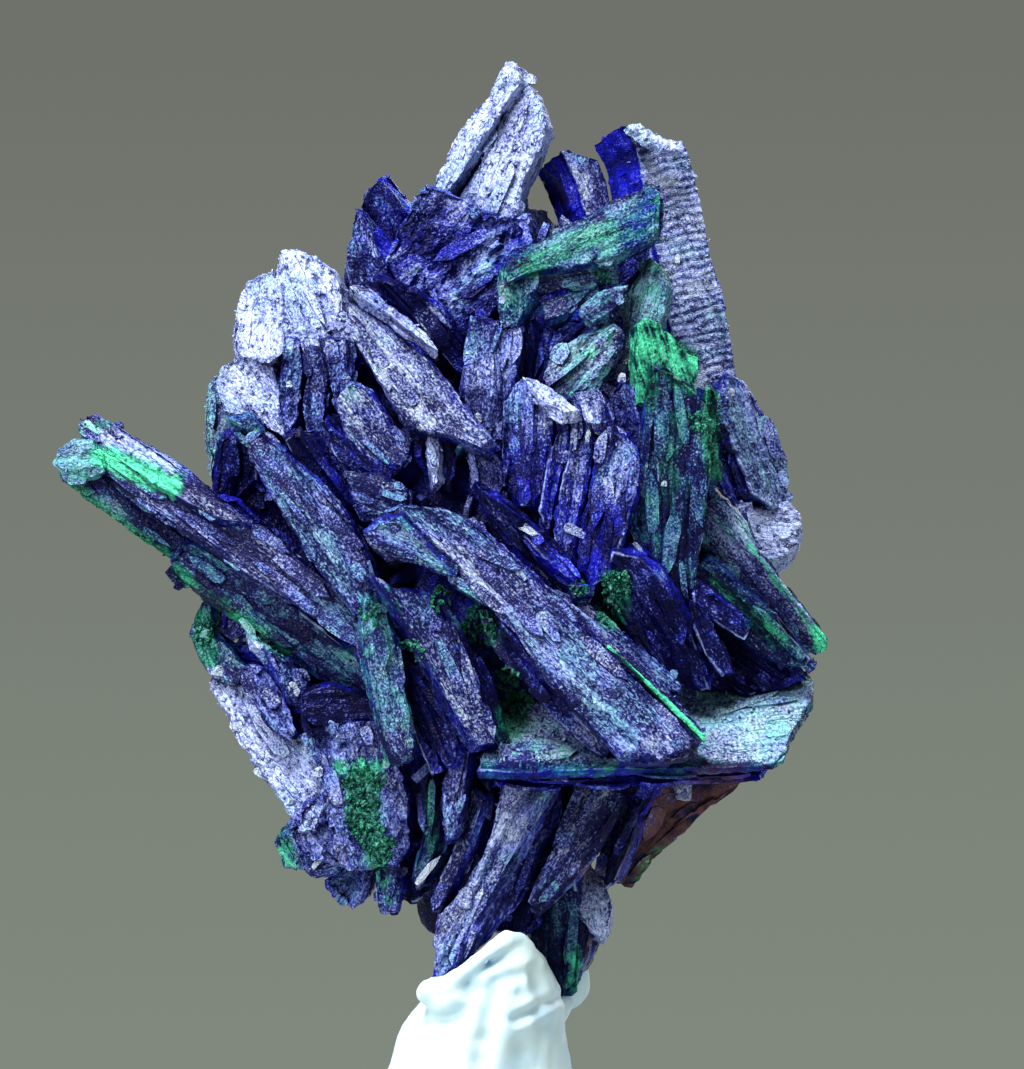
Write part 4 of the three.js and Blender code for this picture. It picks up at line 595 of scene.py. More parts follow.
def frameOf(xAxis, yAxis, zAxis, origin):
    rows = zip(xAxis, yAxis, zAxis, origin)
    return Matrix([list(row) for row in rows] + [[0, 0, 0, 1]])


def turnedTo(xAxis, zAxis, origin):
    # a frame with its x along xAxis and its z as near zAxis as it can be
    yAxis = zAxis.cross(xAxis).normalized()
    return frameOf(xAxis, yAxis, xAxis.cross(yAxis), origin)


def splinterSize():
    keys = ("splinterLength", "splinterWidth", "splinterThick")
    return [between(dressing[key]) for key in keys]


def anyWay():
    return Vector([chance.gauss(0, 1) for i in range(3)]).normalized()


def addGrain(spot, normal, look, place, scale=1):
    way = (normal + anyWay() * 0.8).normalized()
    aside = way.orthogonal().normalized()
    radius = between(dressing["grainRadius"]) * scale
    length = radius * between(dressing["grainLength"])
    where = place @ turnedTo(aside, way, spot - way * radius * 0.4)
    grains.append((chance.randrange(8), where, (radius, radius, length), look))


def dressBlade(bm, points, axis, thick, look, place):
    # scatters grains over the blade's face, and splinters over the face and along its edges
    tree = BVHTree.FromBMesh(bm)
    up = Vector((0, 0, 1))
    xs = [x for x, y in points]
    ys = [y for x, y in points]
    ring = list(zip(points, points[1:] + points[:1]))
    area = abs(sum(x0 * y1 - x1 * y0 for (x0, y0), (x1, y1) in ring)) / 2

    def spotOn():
        for i in range(20):
            x, y = between((min(xs), max(xs))), between((min(ys), max(ys)))
            if insideOutline(x, y, points):
                break
        return tree.ray_cast(Vector((x, y, 3)), -up)

    for i in range(int(area * dressing["grainRate"] * look["frost"] ** 2)):
        spot, normal, index, gap = spotOn()
        if spot is not None:
            addGrain(spot, normal, look, place)
    count = int(area * dressing["splinterRate"] * look["splintered"] + chance.random())
    for i in range(count):
        spot, normal, index, gap = spotOn()
        if spot is None:
            continue
        way = axis * chance.choice((-1, 1))
        way.rotate(Matrix.Rotation(chance.gauss(0, 0.12), 3, "Z"))
        way = (way + up * between((0, 0.09))).normalized()
        size = splinterSize()
        end = spot + way * size[0]
        while size[0] > 0.5 and not insideOutline(end.x, end.y, points):
            size[0] *= 0.7
            end = spot + way * size[0]
        where = place @ turnedTo(way, up, spot + up * size[2] * between((0.1, 0.5)))
        splinters.append((chance.randrange(6), where, size, look))
    for (x0, y0), (x1, y1) in ring:
        run = Vector((x1 - x0, y1 - y0, 0))
        way = run.normalized()
        outward = Vector((run.y, -run.x, 0)).normalized()
        if insideOutline((x0 + x1) / 2 + outward.x * 0.01, (y0 + y1) / 2 + outward.y * 0.01, points):
            outward = -outward
        for i in range(int(run.length * dressing["edgeRate"] * look["splintered"] + chance.random())):
            size = splinterSize()
            size[0] = min(size[0], run.length * 0.9)
            start = Vector((x0, y0, 0)) + way * (run.length - size[0]) * chance.random()
            depth = up * -thick * between((0.05, 0.8))
            where = start + outward * (between(dressing["edgeProud"]) - size[1] / 2) + depth
            splinters.append((chance.randrange(6), place @ turnedTo(way, up, where), size, look))


def growSlab(points, thick, look, seed, place, fineness=1.0):
    axis = longAxis(points)
    side = Vector((-axis.y, axis.x, 0))
    bm = slabForm(points, thick, min(meshing["chamfer"], thick * 0.25), look["taper"])
    spanU = [Vector((x, y, 0)).dot(axis) for x, y in points]
    spanV = [Vector((x, y, 0)).dot(side) for x, y in points]
    along = meshing["along"] / (2.4 if look["ripple"] else 1)
    cutAcross(bm, axis, min(spanU), max(spanU), along * fineness)
    cutAcross(bm, side, min(spanV), max(spanV), meshing["across"] * fineness)
    cutAcross(bm, Vector((0, 0, 1)), -thick, 0, meshing["layer"] * fineness)
    bmesh.ops.triangulate(bm, faces=bm.faces[:])
    shapeSurface(bm, axis, look, seed, thick)
    dressBlade(bm, points, axis, thick, look, place)
    writeMarks(bm, axis, look, seed, points, place)
    return bm


def platePlace(points, depth, turned):
    lifted = [(x - sheet["middle"], sheet["foot"] - y) for x, y in points]
    middle = np.mean(lifted, axis=0)
    local = [(x - middle[0], z - middle[1]) for x, z in lifted]
    across = Vector((1, math.tan(math.radians(turned[0])), 0))
    upward = Vector((0, math.tan(math.radians(turned[1])), 1))
    facing = across.cross(upward).normalized()
    return local, frameOf(across, upward, facing, (middle[0], depth, middle[1]))


def spearPlace(root, tip, width, thick, roll):
    axis = (tip - root).normalized()
    length = (tip - root).length
    side = Vector((0, 0, 1)).cross(axis)
    if side.length < 0.1:
        side = Vector((1, 0, 0))
    side.normalize()
    side.rotate(Matrix.Rotation(math.radians(roll), 3, axis))
    facing = axis.cross(side)
    half = width / 2
    points = [(0, -half * 0.7), (length * 0.84, -half), (length, -half * 0.2),
              (length * 0.74, half), (0, half * 0.8)]
    return points, frameOf(axis, side, facing, root + facing * thick / 2)


def bundleSpears():
    dice = Dice(bundleSet["seed"])
    middle = Vector(bundleSet["middle"])
    spears = []
    goldenAngle = math.pi * (3 - math.sqrt(5))
    for i in range(bundleSet["count"]):
        low, high = bundleSet["lean"]
        y = low + (high - low) * (i + 0.5) / bundleSet["count"]
        ring = math.sqrt(1 - y * y)
        angle = i * goldenAngle + bundleSet["firstAngle"]
        way = Vector((ring * math.cos(angle), y, ring * math.sin(angle)))
        tip = way * Vector(bundleSet["reach"]) * (0.9 + 0.2 * dice.roll()) + middle
        root = Vector([spread * (dice.roll() - 0.5) for spread in bundleSet["roots"]])
        root.z += way.z * bundleSet["climb"]
        root += middle
        turn = dice.roll() * 180
        axis = (tip - root).normalized()
        side = Vector((0, 0, 1)).cross(axis).normalized()
        side.rotate(Matrix.Rotation(math.radians(turn), 3, axis))
        across = axis.cross(side)
        for k, length in enumerate(bundleSet["lengths"]):
            thick = 1.1 + 0.8 * dice.roll()
            width = 3.2 + 2.4 * dice.roll()
            shift = across * (k - 1) * bundleSet["spacing"]
            end = root.lerp(tip, length) + shift * bundleSet["flare"]
            spears.append((root + shift, end, width, thick, turn))
    return spears


def addObject(name, data):
    holder = bpy.data.objects.new(name, data)
    bpy.context.collection.objects.link(holder)
    return holder


def joinForms(name, forms):
    whole = bmesh.new()
    for form in forms:
        mesh = bpy.data.meshes.new("part")
        form.to_mesh(mesh)
        form.free()
        whole.from_mesh(mesh)
        bpy.data.meshes.remove(mesh)
    trees[name] = BVHTree.FromBMesh(whole)
    mesh = bpy.data.meshes.new(name)
    whole.to_mesh(mesh)
    whole.free()
    mesh.transform(Matrix.Scale(mm, 4))
    return addObject(name, mesh)


def paintStreaks(piece):
    # blends the tint of every vertex near a streak on the front towards the streak's own
    mesh = piece.data
    count = len(mesh.vertices)
    place = np.zeros(count * 3)
    mesh.vertices.foreach_get("co", place)
    place = place.reshape(-1, 3) / mm
    tint = np.zeros(count * 4)
    marks = np.zeros(count * 3)
    mesh.attributes["tint"].data.foreach_get("color", tint)
    mesh.attributes["marks"].data.foreach_get("vector", marks)
    tint = tint.reshape(-1, 4)
    marks = marks.reshape(-1, 3)
    front = np.clip((2 - place[:, 1]) / 3, 0, 1)
    channels = {"frost": 0, "green": 1, "azure": 2, "mint": 3}
    flat = np.stack([place[:, 0] + sheet["middle"], sheet["foot"] - place[:, 2]], axis=1)
    for start, end, radius, kind, strength in streaks:
        run = np.array(end) - np.array(start)
        t = np.clip(((flat - start) @ run) / (run @ run), 0, 1)
        away = np.linalg.norm(flat - start - t[:, None] * run, axis=1)
        weight = np.clip(1.35 - away / radius, 0, 1) * front * strength
        if kind == "rust":
            marks[:, 1] = np.maximum(marks[:, 1], weight)
            continue
        if kind == "emerald":
            tint[:, 0] *= 1 - 0.7 * weight
            tint[:, 1] = np.maximum(tint[:, 1], weight)
            tint[:, 3] = np.maximum(tint[:, 3], 0.2 * weight)
            continue
        if kind == "frost":
            weight = weight * (1 - 0.8 * np.clip(marks[:, 2] * 1.5, 0, 1))
        tint[:, channels[kind]] = np.maximum(tint[:, channels[kind]], weight)
        if kind == "mint":
            tint[:, 1] = np.maximum(tint[:, 1], weight)
            tint[:, 0] *= 1 - 0.5 * weight
        if kind == "azure":
            tint[:, 0] *= 1 - 0.8 * weight
    mesh.attributes["tint"].data.foreach_set("color", tint.ravel())
    mesh.attributes["marks"].data.foreach_set("vector", marks.ravel())


def growPlates(name, rows, fineness=1.0, flip=None):
    forms = []
    for row, finish, depth, turned, thick, points in rows:
        local, place = platePlace(points, depth, turned)
        if flip is not None:
            place = flip @ place
        seed = sum(ord(letter) for letter in row) % 97
        forms.append(growSlab(local, thick, finishes[finish], seed, place, fineness))
    piece = joinForms(name, forms)
    paintStreaks(piece)
    return piece


def growSpears(name, spears, looks, fineness):
    forms = []
    for i, (root, tip, width, thick, roll) in enumerate(spears):
        points, place = spearPlace(root, tip, width, thick, roll)
        look = finishes[looks[i % len(looks)]]
        forms.append(growSlab(points, thick, look, 101 + i, place, fineness))
    return joinForms(name, forms)


def growCore(name):
    forms = []
    for i, (middle, half, turn) in enumerate(coreLumps):
        bm = bmesh.new()
        bmesh.ops.create_icosphere(bm, subdivisions=5, radius=0.95)
        for vert in bm.verts:
            lump = noise.noise(vert.co * 2.2 + Vector((i * 5, 0, 0))) * 0.22
            cell = noise.voronoi(vert.co * 5 + Vector((i, 0, 0)))[0][0] * 0.16
            vert.co *= 1 + lump + cell - 0.08
        place = Matrix.Translation(middle) @ Matrix.Diagonal((*half, 1)) @ Matrix.Rotation(turn, 4, "Z")
        bm.transform(place)
        axis = Vector((0, 1, 0))
        look = dict(finishes["navy"], frost=0.05, azure=0.15)
        writeMarks(bm, axis, look, 40 + i, [(99, 99), (100, 99), (100, 100)], Matrix.Identity(4))
        forms.append(bm)
    return joinForms(name, forms)


def unitForm(bm):
    # a small form as arrays, to be repeated: its points, its triangles and how upright each point is
    bm.verts.index_update()
    bmesh.ops.triangulate(bm, faces=bm.faces[:])
    bmesh.ops.recalc_face_normals(bm, faces=bm.faces)
    bm.normal_update()
    unit = {
        "points": np.array([vert.co[:] for vert in bm.verts]),
        "faces": np.array([[vert.index for vert in face.verts] for face in bm.faces]),
        "wall": np.array([1 - abs(vert.normal.z) for vert in bm.verts]),
    }
    bm.free()
    return unit


def splinterUnit(variant):
    dice = random.Random(variant)
    bm = bmesh.new()
    outline = [(0, -0.3), (0.16, -0.5), (0.78 + 0.1 * dice.random(), -0.44), (1, 0.3 * dice.random() - 0.2),
               (0.6 + 0.2 * dice.random(), 0.48), (0.14, 0.5), (0, 0.24)]
    face = bm.faces.new([bm.verts.new((x, y, 0)) for x, y in outline])
    made = bmesh.ops.extrude_face_region(bm, geom=[face])
    moved = [item for item in made["geom"] if isinstance(item, bmesh.types.BMVert)]
    bmesh.ops.translate(bm, verts=moved, vec=(0, 0, -1))
    for cut in (0.3, 0.52, 0.74):
        everything = bm.verts[:] + bm.edges[:] + bm.faces[:]
        slant = 0.5 * dice.random() - 0.25
        bmesh.ops.bisect_plane(bm, geom=everything, plane_co=(cut, 0, 0), plane_no=(1, slant, 0))
    for vert in bm.verts:
        vert.co += Vector((0, dice.random() - 0.5, dice.random() - 0.5)) * 0.16
    return unitForm(bm)


def grainUnit(variant):
    dice = random.Random(50 + variant)
    bm = bmesh.new()
    bmesh.ops.create_cone(bm, cap_ends=True, segments=4 + variant % 3, radius1=1, radius2=0.5, depth=1,
                          matrix=Matrix.Translation((0, 0, 0.5)))
    for vert in bm.verts:
        vert.co += Vector((dice.random() - 0.5, dice.random() - 0.5, dice.random() - 0.5)) * 0.3
    return unitForm(bm)


def lumpUnit(variant):
    bm = bmesh.new()
    bmesh.ops.create_icosphere(bm, subdivisions=2, radius=1)
    for vert in bm.verts:
        vert.co *= 1 + noise.noise(vert.co * 1.7 + Vector((variant * 3, 0, 0))) * 0.5
    return unitForm(bm)


def scatterForms(name, units, placings):
    # joins many small forms into one mesh, each with its own place, size and tint
    coords, faces, grainPlaces, tints, marks = [], [], [], [], []
    count = 0
    for i, (which, where, size, look) in enumerate(placings):
        unit = units[which % len(units)]
        local = unit["points"] * np.array(size)
        coords.append(local @ np.array(where.to_3x3()).T + np.array(where.translation))
        faces.append(unit["faces"] + count)
        count += len(local)
        grainPlaces.append(local + (i % 89) * np.array((2.3, 1.1, 0.7)))
        tints.append(np.tile((look["frost"], look["green"], look["azure"], look["mint"]), (len(local), 1)))
        mark = np.zeros((len(local), 3))
        mark[:, 1] = look["rust"]
        mark[:, 2] = unit["wall"]
        marks.append(mark)
    mesh = bpy.data.meshes.new(name)
    mesh.from_pydata((np.concatenate(coords) * mm).tolist(), [], np.concatenate(faces).tolist())
    for label, kind, field, values in (
            ("bladePlace", "FLOAT_VECTOR", "vector", grainPlaces), ("tint", "FLOAT_COLOR", "color", tints),
            ("marks", "FLOAT_VECTOR", "vector", marks)):
        layer = mesh.attributes.new(label, kind, "POINT")
        layer.data.foreach_set(field, np.concatenate(values).ravel())
    piece = addObject(name, mesh)
    paintStreaks(piece)
    return piece


def firstHit(start, way):
    best = (None, None, None)
    reach = 1e9
    for name, tree in trees.items():
        spot, normal, index, gap = tree.ray_cast(start, way)
        if spot is not None and gap < reach:
            reach = gap
            best = (spot, normal, name)
    return best


# Blades in the crevices: where a straight look from outside meets the core, one stands there.
creviceSet = {
    "looks": ["navy", "dusk", "navy", "azure", "navy", "moss", "slate", "dusk"], "perView": 170,
    "spread": 21,
    "within": (15.5, 10, 19),
    "length": (1.2, 3.6), "width": (0.45, 1.3), "thick": (0.2, 0.5), "middle": (0, -2, 34),
    "views": [(az, el) for el in (-25, 5, 40) for az in range(0, 360, 40)] + [(0, 0)] * 3,
}


def fillCrevices():
    middle = Vector(creviceSet["middle"])
    for azimuth, elevation in creviceSet["views"]:
        turn = Matrix.Rotation(math.radians(azimuth), 3, "Z")
        turn = turn @ Matrix.Rotation(math.radians(-elevation), 3, "X")
        way = turn @ Vector((0, 1, 0))
        for i in range(creviceSet["perView"]):
            aside = turn @ Vector((chance.uniform(-1, 1), 0, chance.uniform(-1, 1))) * creviceSet["spread"]
            spot, normal, name = firstHit(middle + aside - way * 60, way)
            if name not in ("coreMass", "carrierBlades"):
                continue
            out = (spot - middle).normalized()
            lean = (out * 0.8 - way * 0.5 + anyWay() * 0.35).normalized()
            size = [between(creviceSet[side]) for side in ("length", "width", "thick")]
            tip = spot + lean * size[0] - middle
            if sum((tip[k] / creviceSet["within"][k]) ** 2 for k in range(3)) > 1:
                continue
            where = turnedTo(lean, (anyWay() * 0.7 - way).normalized(), spot - lean * 0.6)
            which = chance.randrange(6)
            splinters.append((which, where, size, finishes[chance.choice(creviceSet["looks"])]))


# Crusts of green malachite: x, y and radius on the sheet, and how many grains.
crusts = [
    (17.9, 39.4, 0.85, 50), (18.1, 40.8, 0.9, 80), (18.5, 41.7, 0.7, 60), (19.2, 42.5, 0.7, 46),
    (18.9, 39, 0.5, 30), (30.9, 29.3, 0.7, 60), (30.4, 30.6, 0.6, 40), (24, 31.3, 0.9, 60),
    (25.9, 35.2, 0.7, 50), (25.4, 33.9, 0.6, 36), (29, 29.4, 0.4, 24), (10.1, 31.8, 0.5, 30),
    (34.9, 21.1, 0.5, 26), (30.2, 13.9, 0.4, 16), (22, 30, 0.6, 30), (18.5, 30.6, 0.5, 24),
    (20.6, 32.6, 0.6, 30),
]

# White flecks: x, y on the sheet, length, width, and the degrees they lean to the right.
flecks = [
    (30.65, 16.15, 0.5, 0.45, 0), (4.05, 20.8, 0.45, 0.4, 30), (28.8, 26.6, 1.3, 0.5, 115),
    (26.4, 26.5, 1.1, 0.4, 118), (26.9, 28.4, 1.5, 0.2, 140), (31.9, 27.4, 0.7, 0.25, 140),
    (30.5, 30, 0.35, 0.3, 0), (19.35, 38.1, 0.6, 0.35, 10), (15.9, 38.6, 0.55, 0.5, 0),
    (15.9, 43.1, 0.9, 0.3, 40), (21.4, 43.5, 1.9, 0.35, 38), (14.45, 19.2, 0.35, 0.3, 0),
    (10.25, 31.7, 0.5, 0.5, 0), (12.4, 31.4, 1.2, 0.4, 140), (14.7, 34.5, 0.8, 0.5, 150),
    (31.1, 18.9, 0.5, 0.4, 0), (29.4, 21.8, 0.7, 0.25, 10), (25.1, 15, 0.4, 0.3, 0),
    (37.4, 18.9, 0.5, 0.4, 20), (36.6, 19.6, 0.4, 0.35, 0), (33.9, 12.9, 0.5, 0.3, 0),
    (23.9, 20.9, 0.5, 0.4, 0), (20.2, 43.6, 0.5, 0.35, 30), (33.2, 24.2, 0.3, 0.3, 0),
    (12.3, 32.2, 0.6, 0.4, 130), (11, 33.6, 0.6, 0.5, 100), (11.9, 36.4, 0.7, 0.45, 120),
    (13, 38.7, 0.7, 0.4, 120),
]


def fromSheet(x, y):
    # the first crystal met when looking straight in at this place on the sheet
    return firstHit(Vector((x - sheet["middle"], -60, sheet["foot"] - y)), Vector((0, 1, 0)))


def growCrusts():
    lumps = []
    still = Matrix.Identity(4)
    look = finishes["leaf"]
    for x, y, radius, count in crusts:
        for i in range(count):
            angle, away = chance.uniform(0, math.tau), radius * math.sqrt(chance.random())
            spot, normal, name = fromSheet(x + away * math.cos(angle), y + away * math.sin(angle))
            if spot is None:
                continue
            addGrain(spot, normal, look, still, 1.5)
            if i % 2 == 0:
                size = between((0.07, 0.19))
                where = Matrix.Translation(spot)
                lumps.append((chance.randrange(4), where, (size, size * 0.8, size), look))
    return lumps


def growFlecks():
    for x, y, length, width, lean in flecks:
        spot, normal, name = fromSheet(x, y)
        if spot is None:
            continue
        angle = math.radians(90 - lean)
        way = Vector((math.cos(angle), 0, math.sin(angle)))
        where = turnedTo(way, Vector((0, -1, 0)), spot - way * length / 2 + Vector((0, -0.12, 0)))
        splinters.append((chance.randrange(6), where, (length, width, 0.4), finishes["white"]))


frontTables = {
    "crownBlades": crownPlates, "upperRightBlades": upperRightPlates, "rightBlades": rightPlates,
    "frontBlades": frontPlates, "leftBlades": leftPlates, "middleBlades": middlePlates,
    "lowerBlades": lowerPlates,
}
pieces = {}
for name, rows in frontTables.items():
    pieces[name] = growPlates(name, rows)
print("stage: front blades grown")

flipOver = Matrix.Rotation(math.pi, 4, "X")
flipOver.translation = (backTurn["shift"], 2 * backTurn["y"], 2 * backTurn["z"])
backRows = [row for rows in frontTables.values() for row in rows if row[0] in backNames]
pieces["backBlades"] = growPlates("backBlades", backRows, 1.5, flipOver)
sideLooks = ["dusk", "navy", "slate", "lavender", "navy", "moss", "azure", "slate"]
pieces["sideBlades"] = growSpears("sideBlades", bundleSpears(), sideLooks, 1.8)
carriers = []
for x, y, depth, width, roll in carrierBlades:
    tip = Vector((x - sheet["middle"], depth, sheet["foot"] - y))
    root = Vector((tip.x * 0.3, -1, 33 + (tip.z - 33) * 0.55))
    carriers.append((root, tip, width, 1.3, roll))
pieces["carrierBlades"] = growSpears("carrierBlades", carriers, ["navy", "azure"], 2.2)
pieces["coreMass"] = growCore("coreMass")
print("stage: back, sides and core grown")

fillCrevices()
growFlecks()
lumps = growCrusts()
pieces["splinters"] = scatterForms("splinters", [splinterUnit(i) for i in range(6)], splinters)
pieces["crustGrains"] = scatterForms("crustGrains", [grainUnit(i) for i in range(8)], grains)
pieces["malachiteLumps"] = scatterForms("malachiteLumps", [lumpUnit(i) for i in range(4)], lumps)
print("stage: small crystals grown,", len(splinters), "splinters and", len(grains), "grains")

# Fine surface of the crystals: colours, and sizes in grains per mm. The frost colours are pale
# crust that is partly painted glints.
surface = {
    "deepBlue": (0.0014, 0.0015, 0.022, 1), "navyBlue": (0.0025, 0.003, 0.055, 1),
    "azureBlue": (0.005, 0.006, 0.42, 1), "glowBlue": (0.04, 0.055, 0.42, 1),
    # the pale rim colour is a painted highlight along the blades' edges
    "duskBlue": (0.06, 0.07, 0.28, 1), "slateBlue": (0.018, 0.022, 0.13, 1),
    "paintedRimHighlight": (0.3, 0.4, 0.8, 1), "frostGlintLavender": (0.26, 0.33, 0.74, 1),
    "frostGlintPale": (0.47, 0.57, 0.88, 1), "frostGlintGreen": (0.2, 0.42, 0.46, 1),
    "frostGlintWarm": (0.38, 0.45, 0.48, 1), "deepGreen": (0.0016, 0.009, 0.02, 1),
    "midGreen": (0.008, 0.15, 0.075, 1), "mintGreen": (0.08, 0.64, 0.36, 1),
    "paleGreen": (0.1, 0.36, 0.36, 1), "rustBrown": (0.16, 0.07, 0.035, 1),
    "grainSize": 9.5, "clumpSize": 1.7, "broadSize": 0.42, "crackSize": 0.55,
}


class Wiring:  # adds and links the nodes of one tree
    def __init__(self, tree):
        self.tree = tree

    def add(self, kind, **values):
        node = self.tree.nodes.new(kind)
        for key, value in values.items():
            setattr(node, key, value)
        return node

    def feed(self, value, socket):
        # a number or a colour is set on the socket, and an output is linked to it
        if isinstance(value, (int, float, tuple)):
            socket.default_value = value
        else:
            self.tree.links.new(value, socket)

    def math(self, operation, first, second=0.0):
        node = self.add("ShaderNodeMath", operation=operation)
        self.feed(first, node.inputs[0])
        self.feed(second, node.inputs[1])
        return node.outputs[0]

    def times(self, first, second):
        return self.math("MULTIPLY", first, second)

    def total(self, *values):
        result = values[0]
        for value in values[1:]:
            result = self.math("ADD", result, value)
        return result

    def centred(self, value, amount):
        return self.times(self.math("SUBTRACT", value, 0.5), amount)

    def mix(self, factor, first, second):
        node = self.add("ShaderNodeMix", data_type="RGBA")
        sockets = [socket for socket in node.inputs if socket.enabled]
        for socket, value in zip(sockets, (factor, first, second)):
            self.feed(value, socket)
        return [socket for socket in node.outputs if socket.enabled][0]

    def ranged(self, value, low, high, toLow=0.0, toHigh=1.0):
        node = self.add("ShaderNodeMapRange", clamp=True)
        for socket, number in zip(node.inputs, (value, low, high, toLow, toHigh)):
            self.feed(number, socket)
        return node.outputs[0]

    def noise(self, place, scale, detail, roughness=0.55):
        node = self.add("ShaderNodeTexNoise")
        values = (("Vector", place), ("Scale", scale), ("Detail", detail), ("Roughness", roughness))
        for name, value in values:
            self.feed(value, node.inputs[name])
        return node.outputs[0]

    def stretched(self, place, scale):
        node = self.add("ShaderNodeMapping")
        self.feed(place, node.inputs["Vector"])
        self.feed(scale, node.inputs["Scale"])
        return node.outputs[0]

    def openness(self, reach):
        # 1 where nothing stands near the surface, and less in a cleft
        node = self.add("ShaderNodeAmbientOcclusion", samples=3)
        self.feed(reach, node.inputs["Distance"])
        return node.outputs["AO"]

    def bump(self, height, strength, reach, shader):
        node = self.add("ShaderNodeBump")
        for name, value in (("Strength", strength), ("Distance", reach), ("Height", height)):
            self.feed(value, node.inputs[name])
        self.feed(node.outputs[0], shader.inputs["Normal"])


def makeGroup(name, inputs, outputs):
    group = bpy.data.node_groups.new(name, "ShaderNodeTree")
    for label, kind in inputs:
        group.interface.new_socket(name=label, in_out="INPUT", socket_type=kind)
    for label, kind in outputs:
        group.interface.new_socket(name=label, in_out="OUTPUT", socket_type=kind)
    return group


def newMaterial(name):
    material = bpy.data.materials.new(name)
    material.use_nodes = True
    return material, Wiring(material.node_tree), material.node_tree.nodes["Principled BSDF"]


def crustGroup():
    # a crust of tiny crystals: how thickly it lies, and how high it stands. How thickly it lies also
    # sets where the painted glints go.
    number = "NodeSocketFloat"
    group = makeGroup("frostCrustAndGlints", [("Place", "NodeSocketVector"), ("Cover", number), ("Size", number)],
                      [("Level", number), ("Height", number)])
    net = Wiring(group)
    inside = net.add("NodeGroupInput").outputs
    outside = net.add("NodeGroupOutput").inputs
    fine = net.noise(inside["Place"], inside["Size"], 1.2, 0.5)
    cells = net.add("ShaderNodeTexVoronoi", feature="F1")
    net.feed(inside["Place"], cells.inputs["Vector"])
    net.feed(net.times(inside["Size"], 0.8), cells.inputs["Scale"])
    edge = net.ranged(inside["Cover"], 0, 1, 0.6, -0.16)
    ground = net.ranged(fine, edge, net.total(edge, 0.56))
    # thin dark lines wind through the crust where a coarser noise crosses its middle
    winding = net.noise(inside["Place"], net.times(inside["Size"], 0.5), 0.8, 0.5)
    apart = net.math("ABSOLUTE", net.math("SUBTRACT", winding, 0.5))
    net.feed(net.times(ground, net.ranged(apart, 0.005, 0.06, 0.42, 1)), outside["Level"])
    facets = net.times(cells.outputs["Distance"], 0.6)
    net.feed(net.total(net.times(fine, 0.9), facets), outside["Height"])
    return group


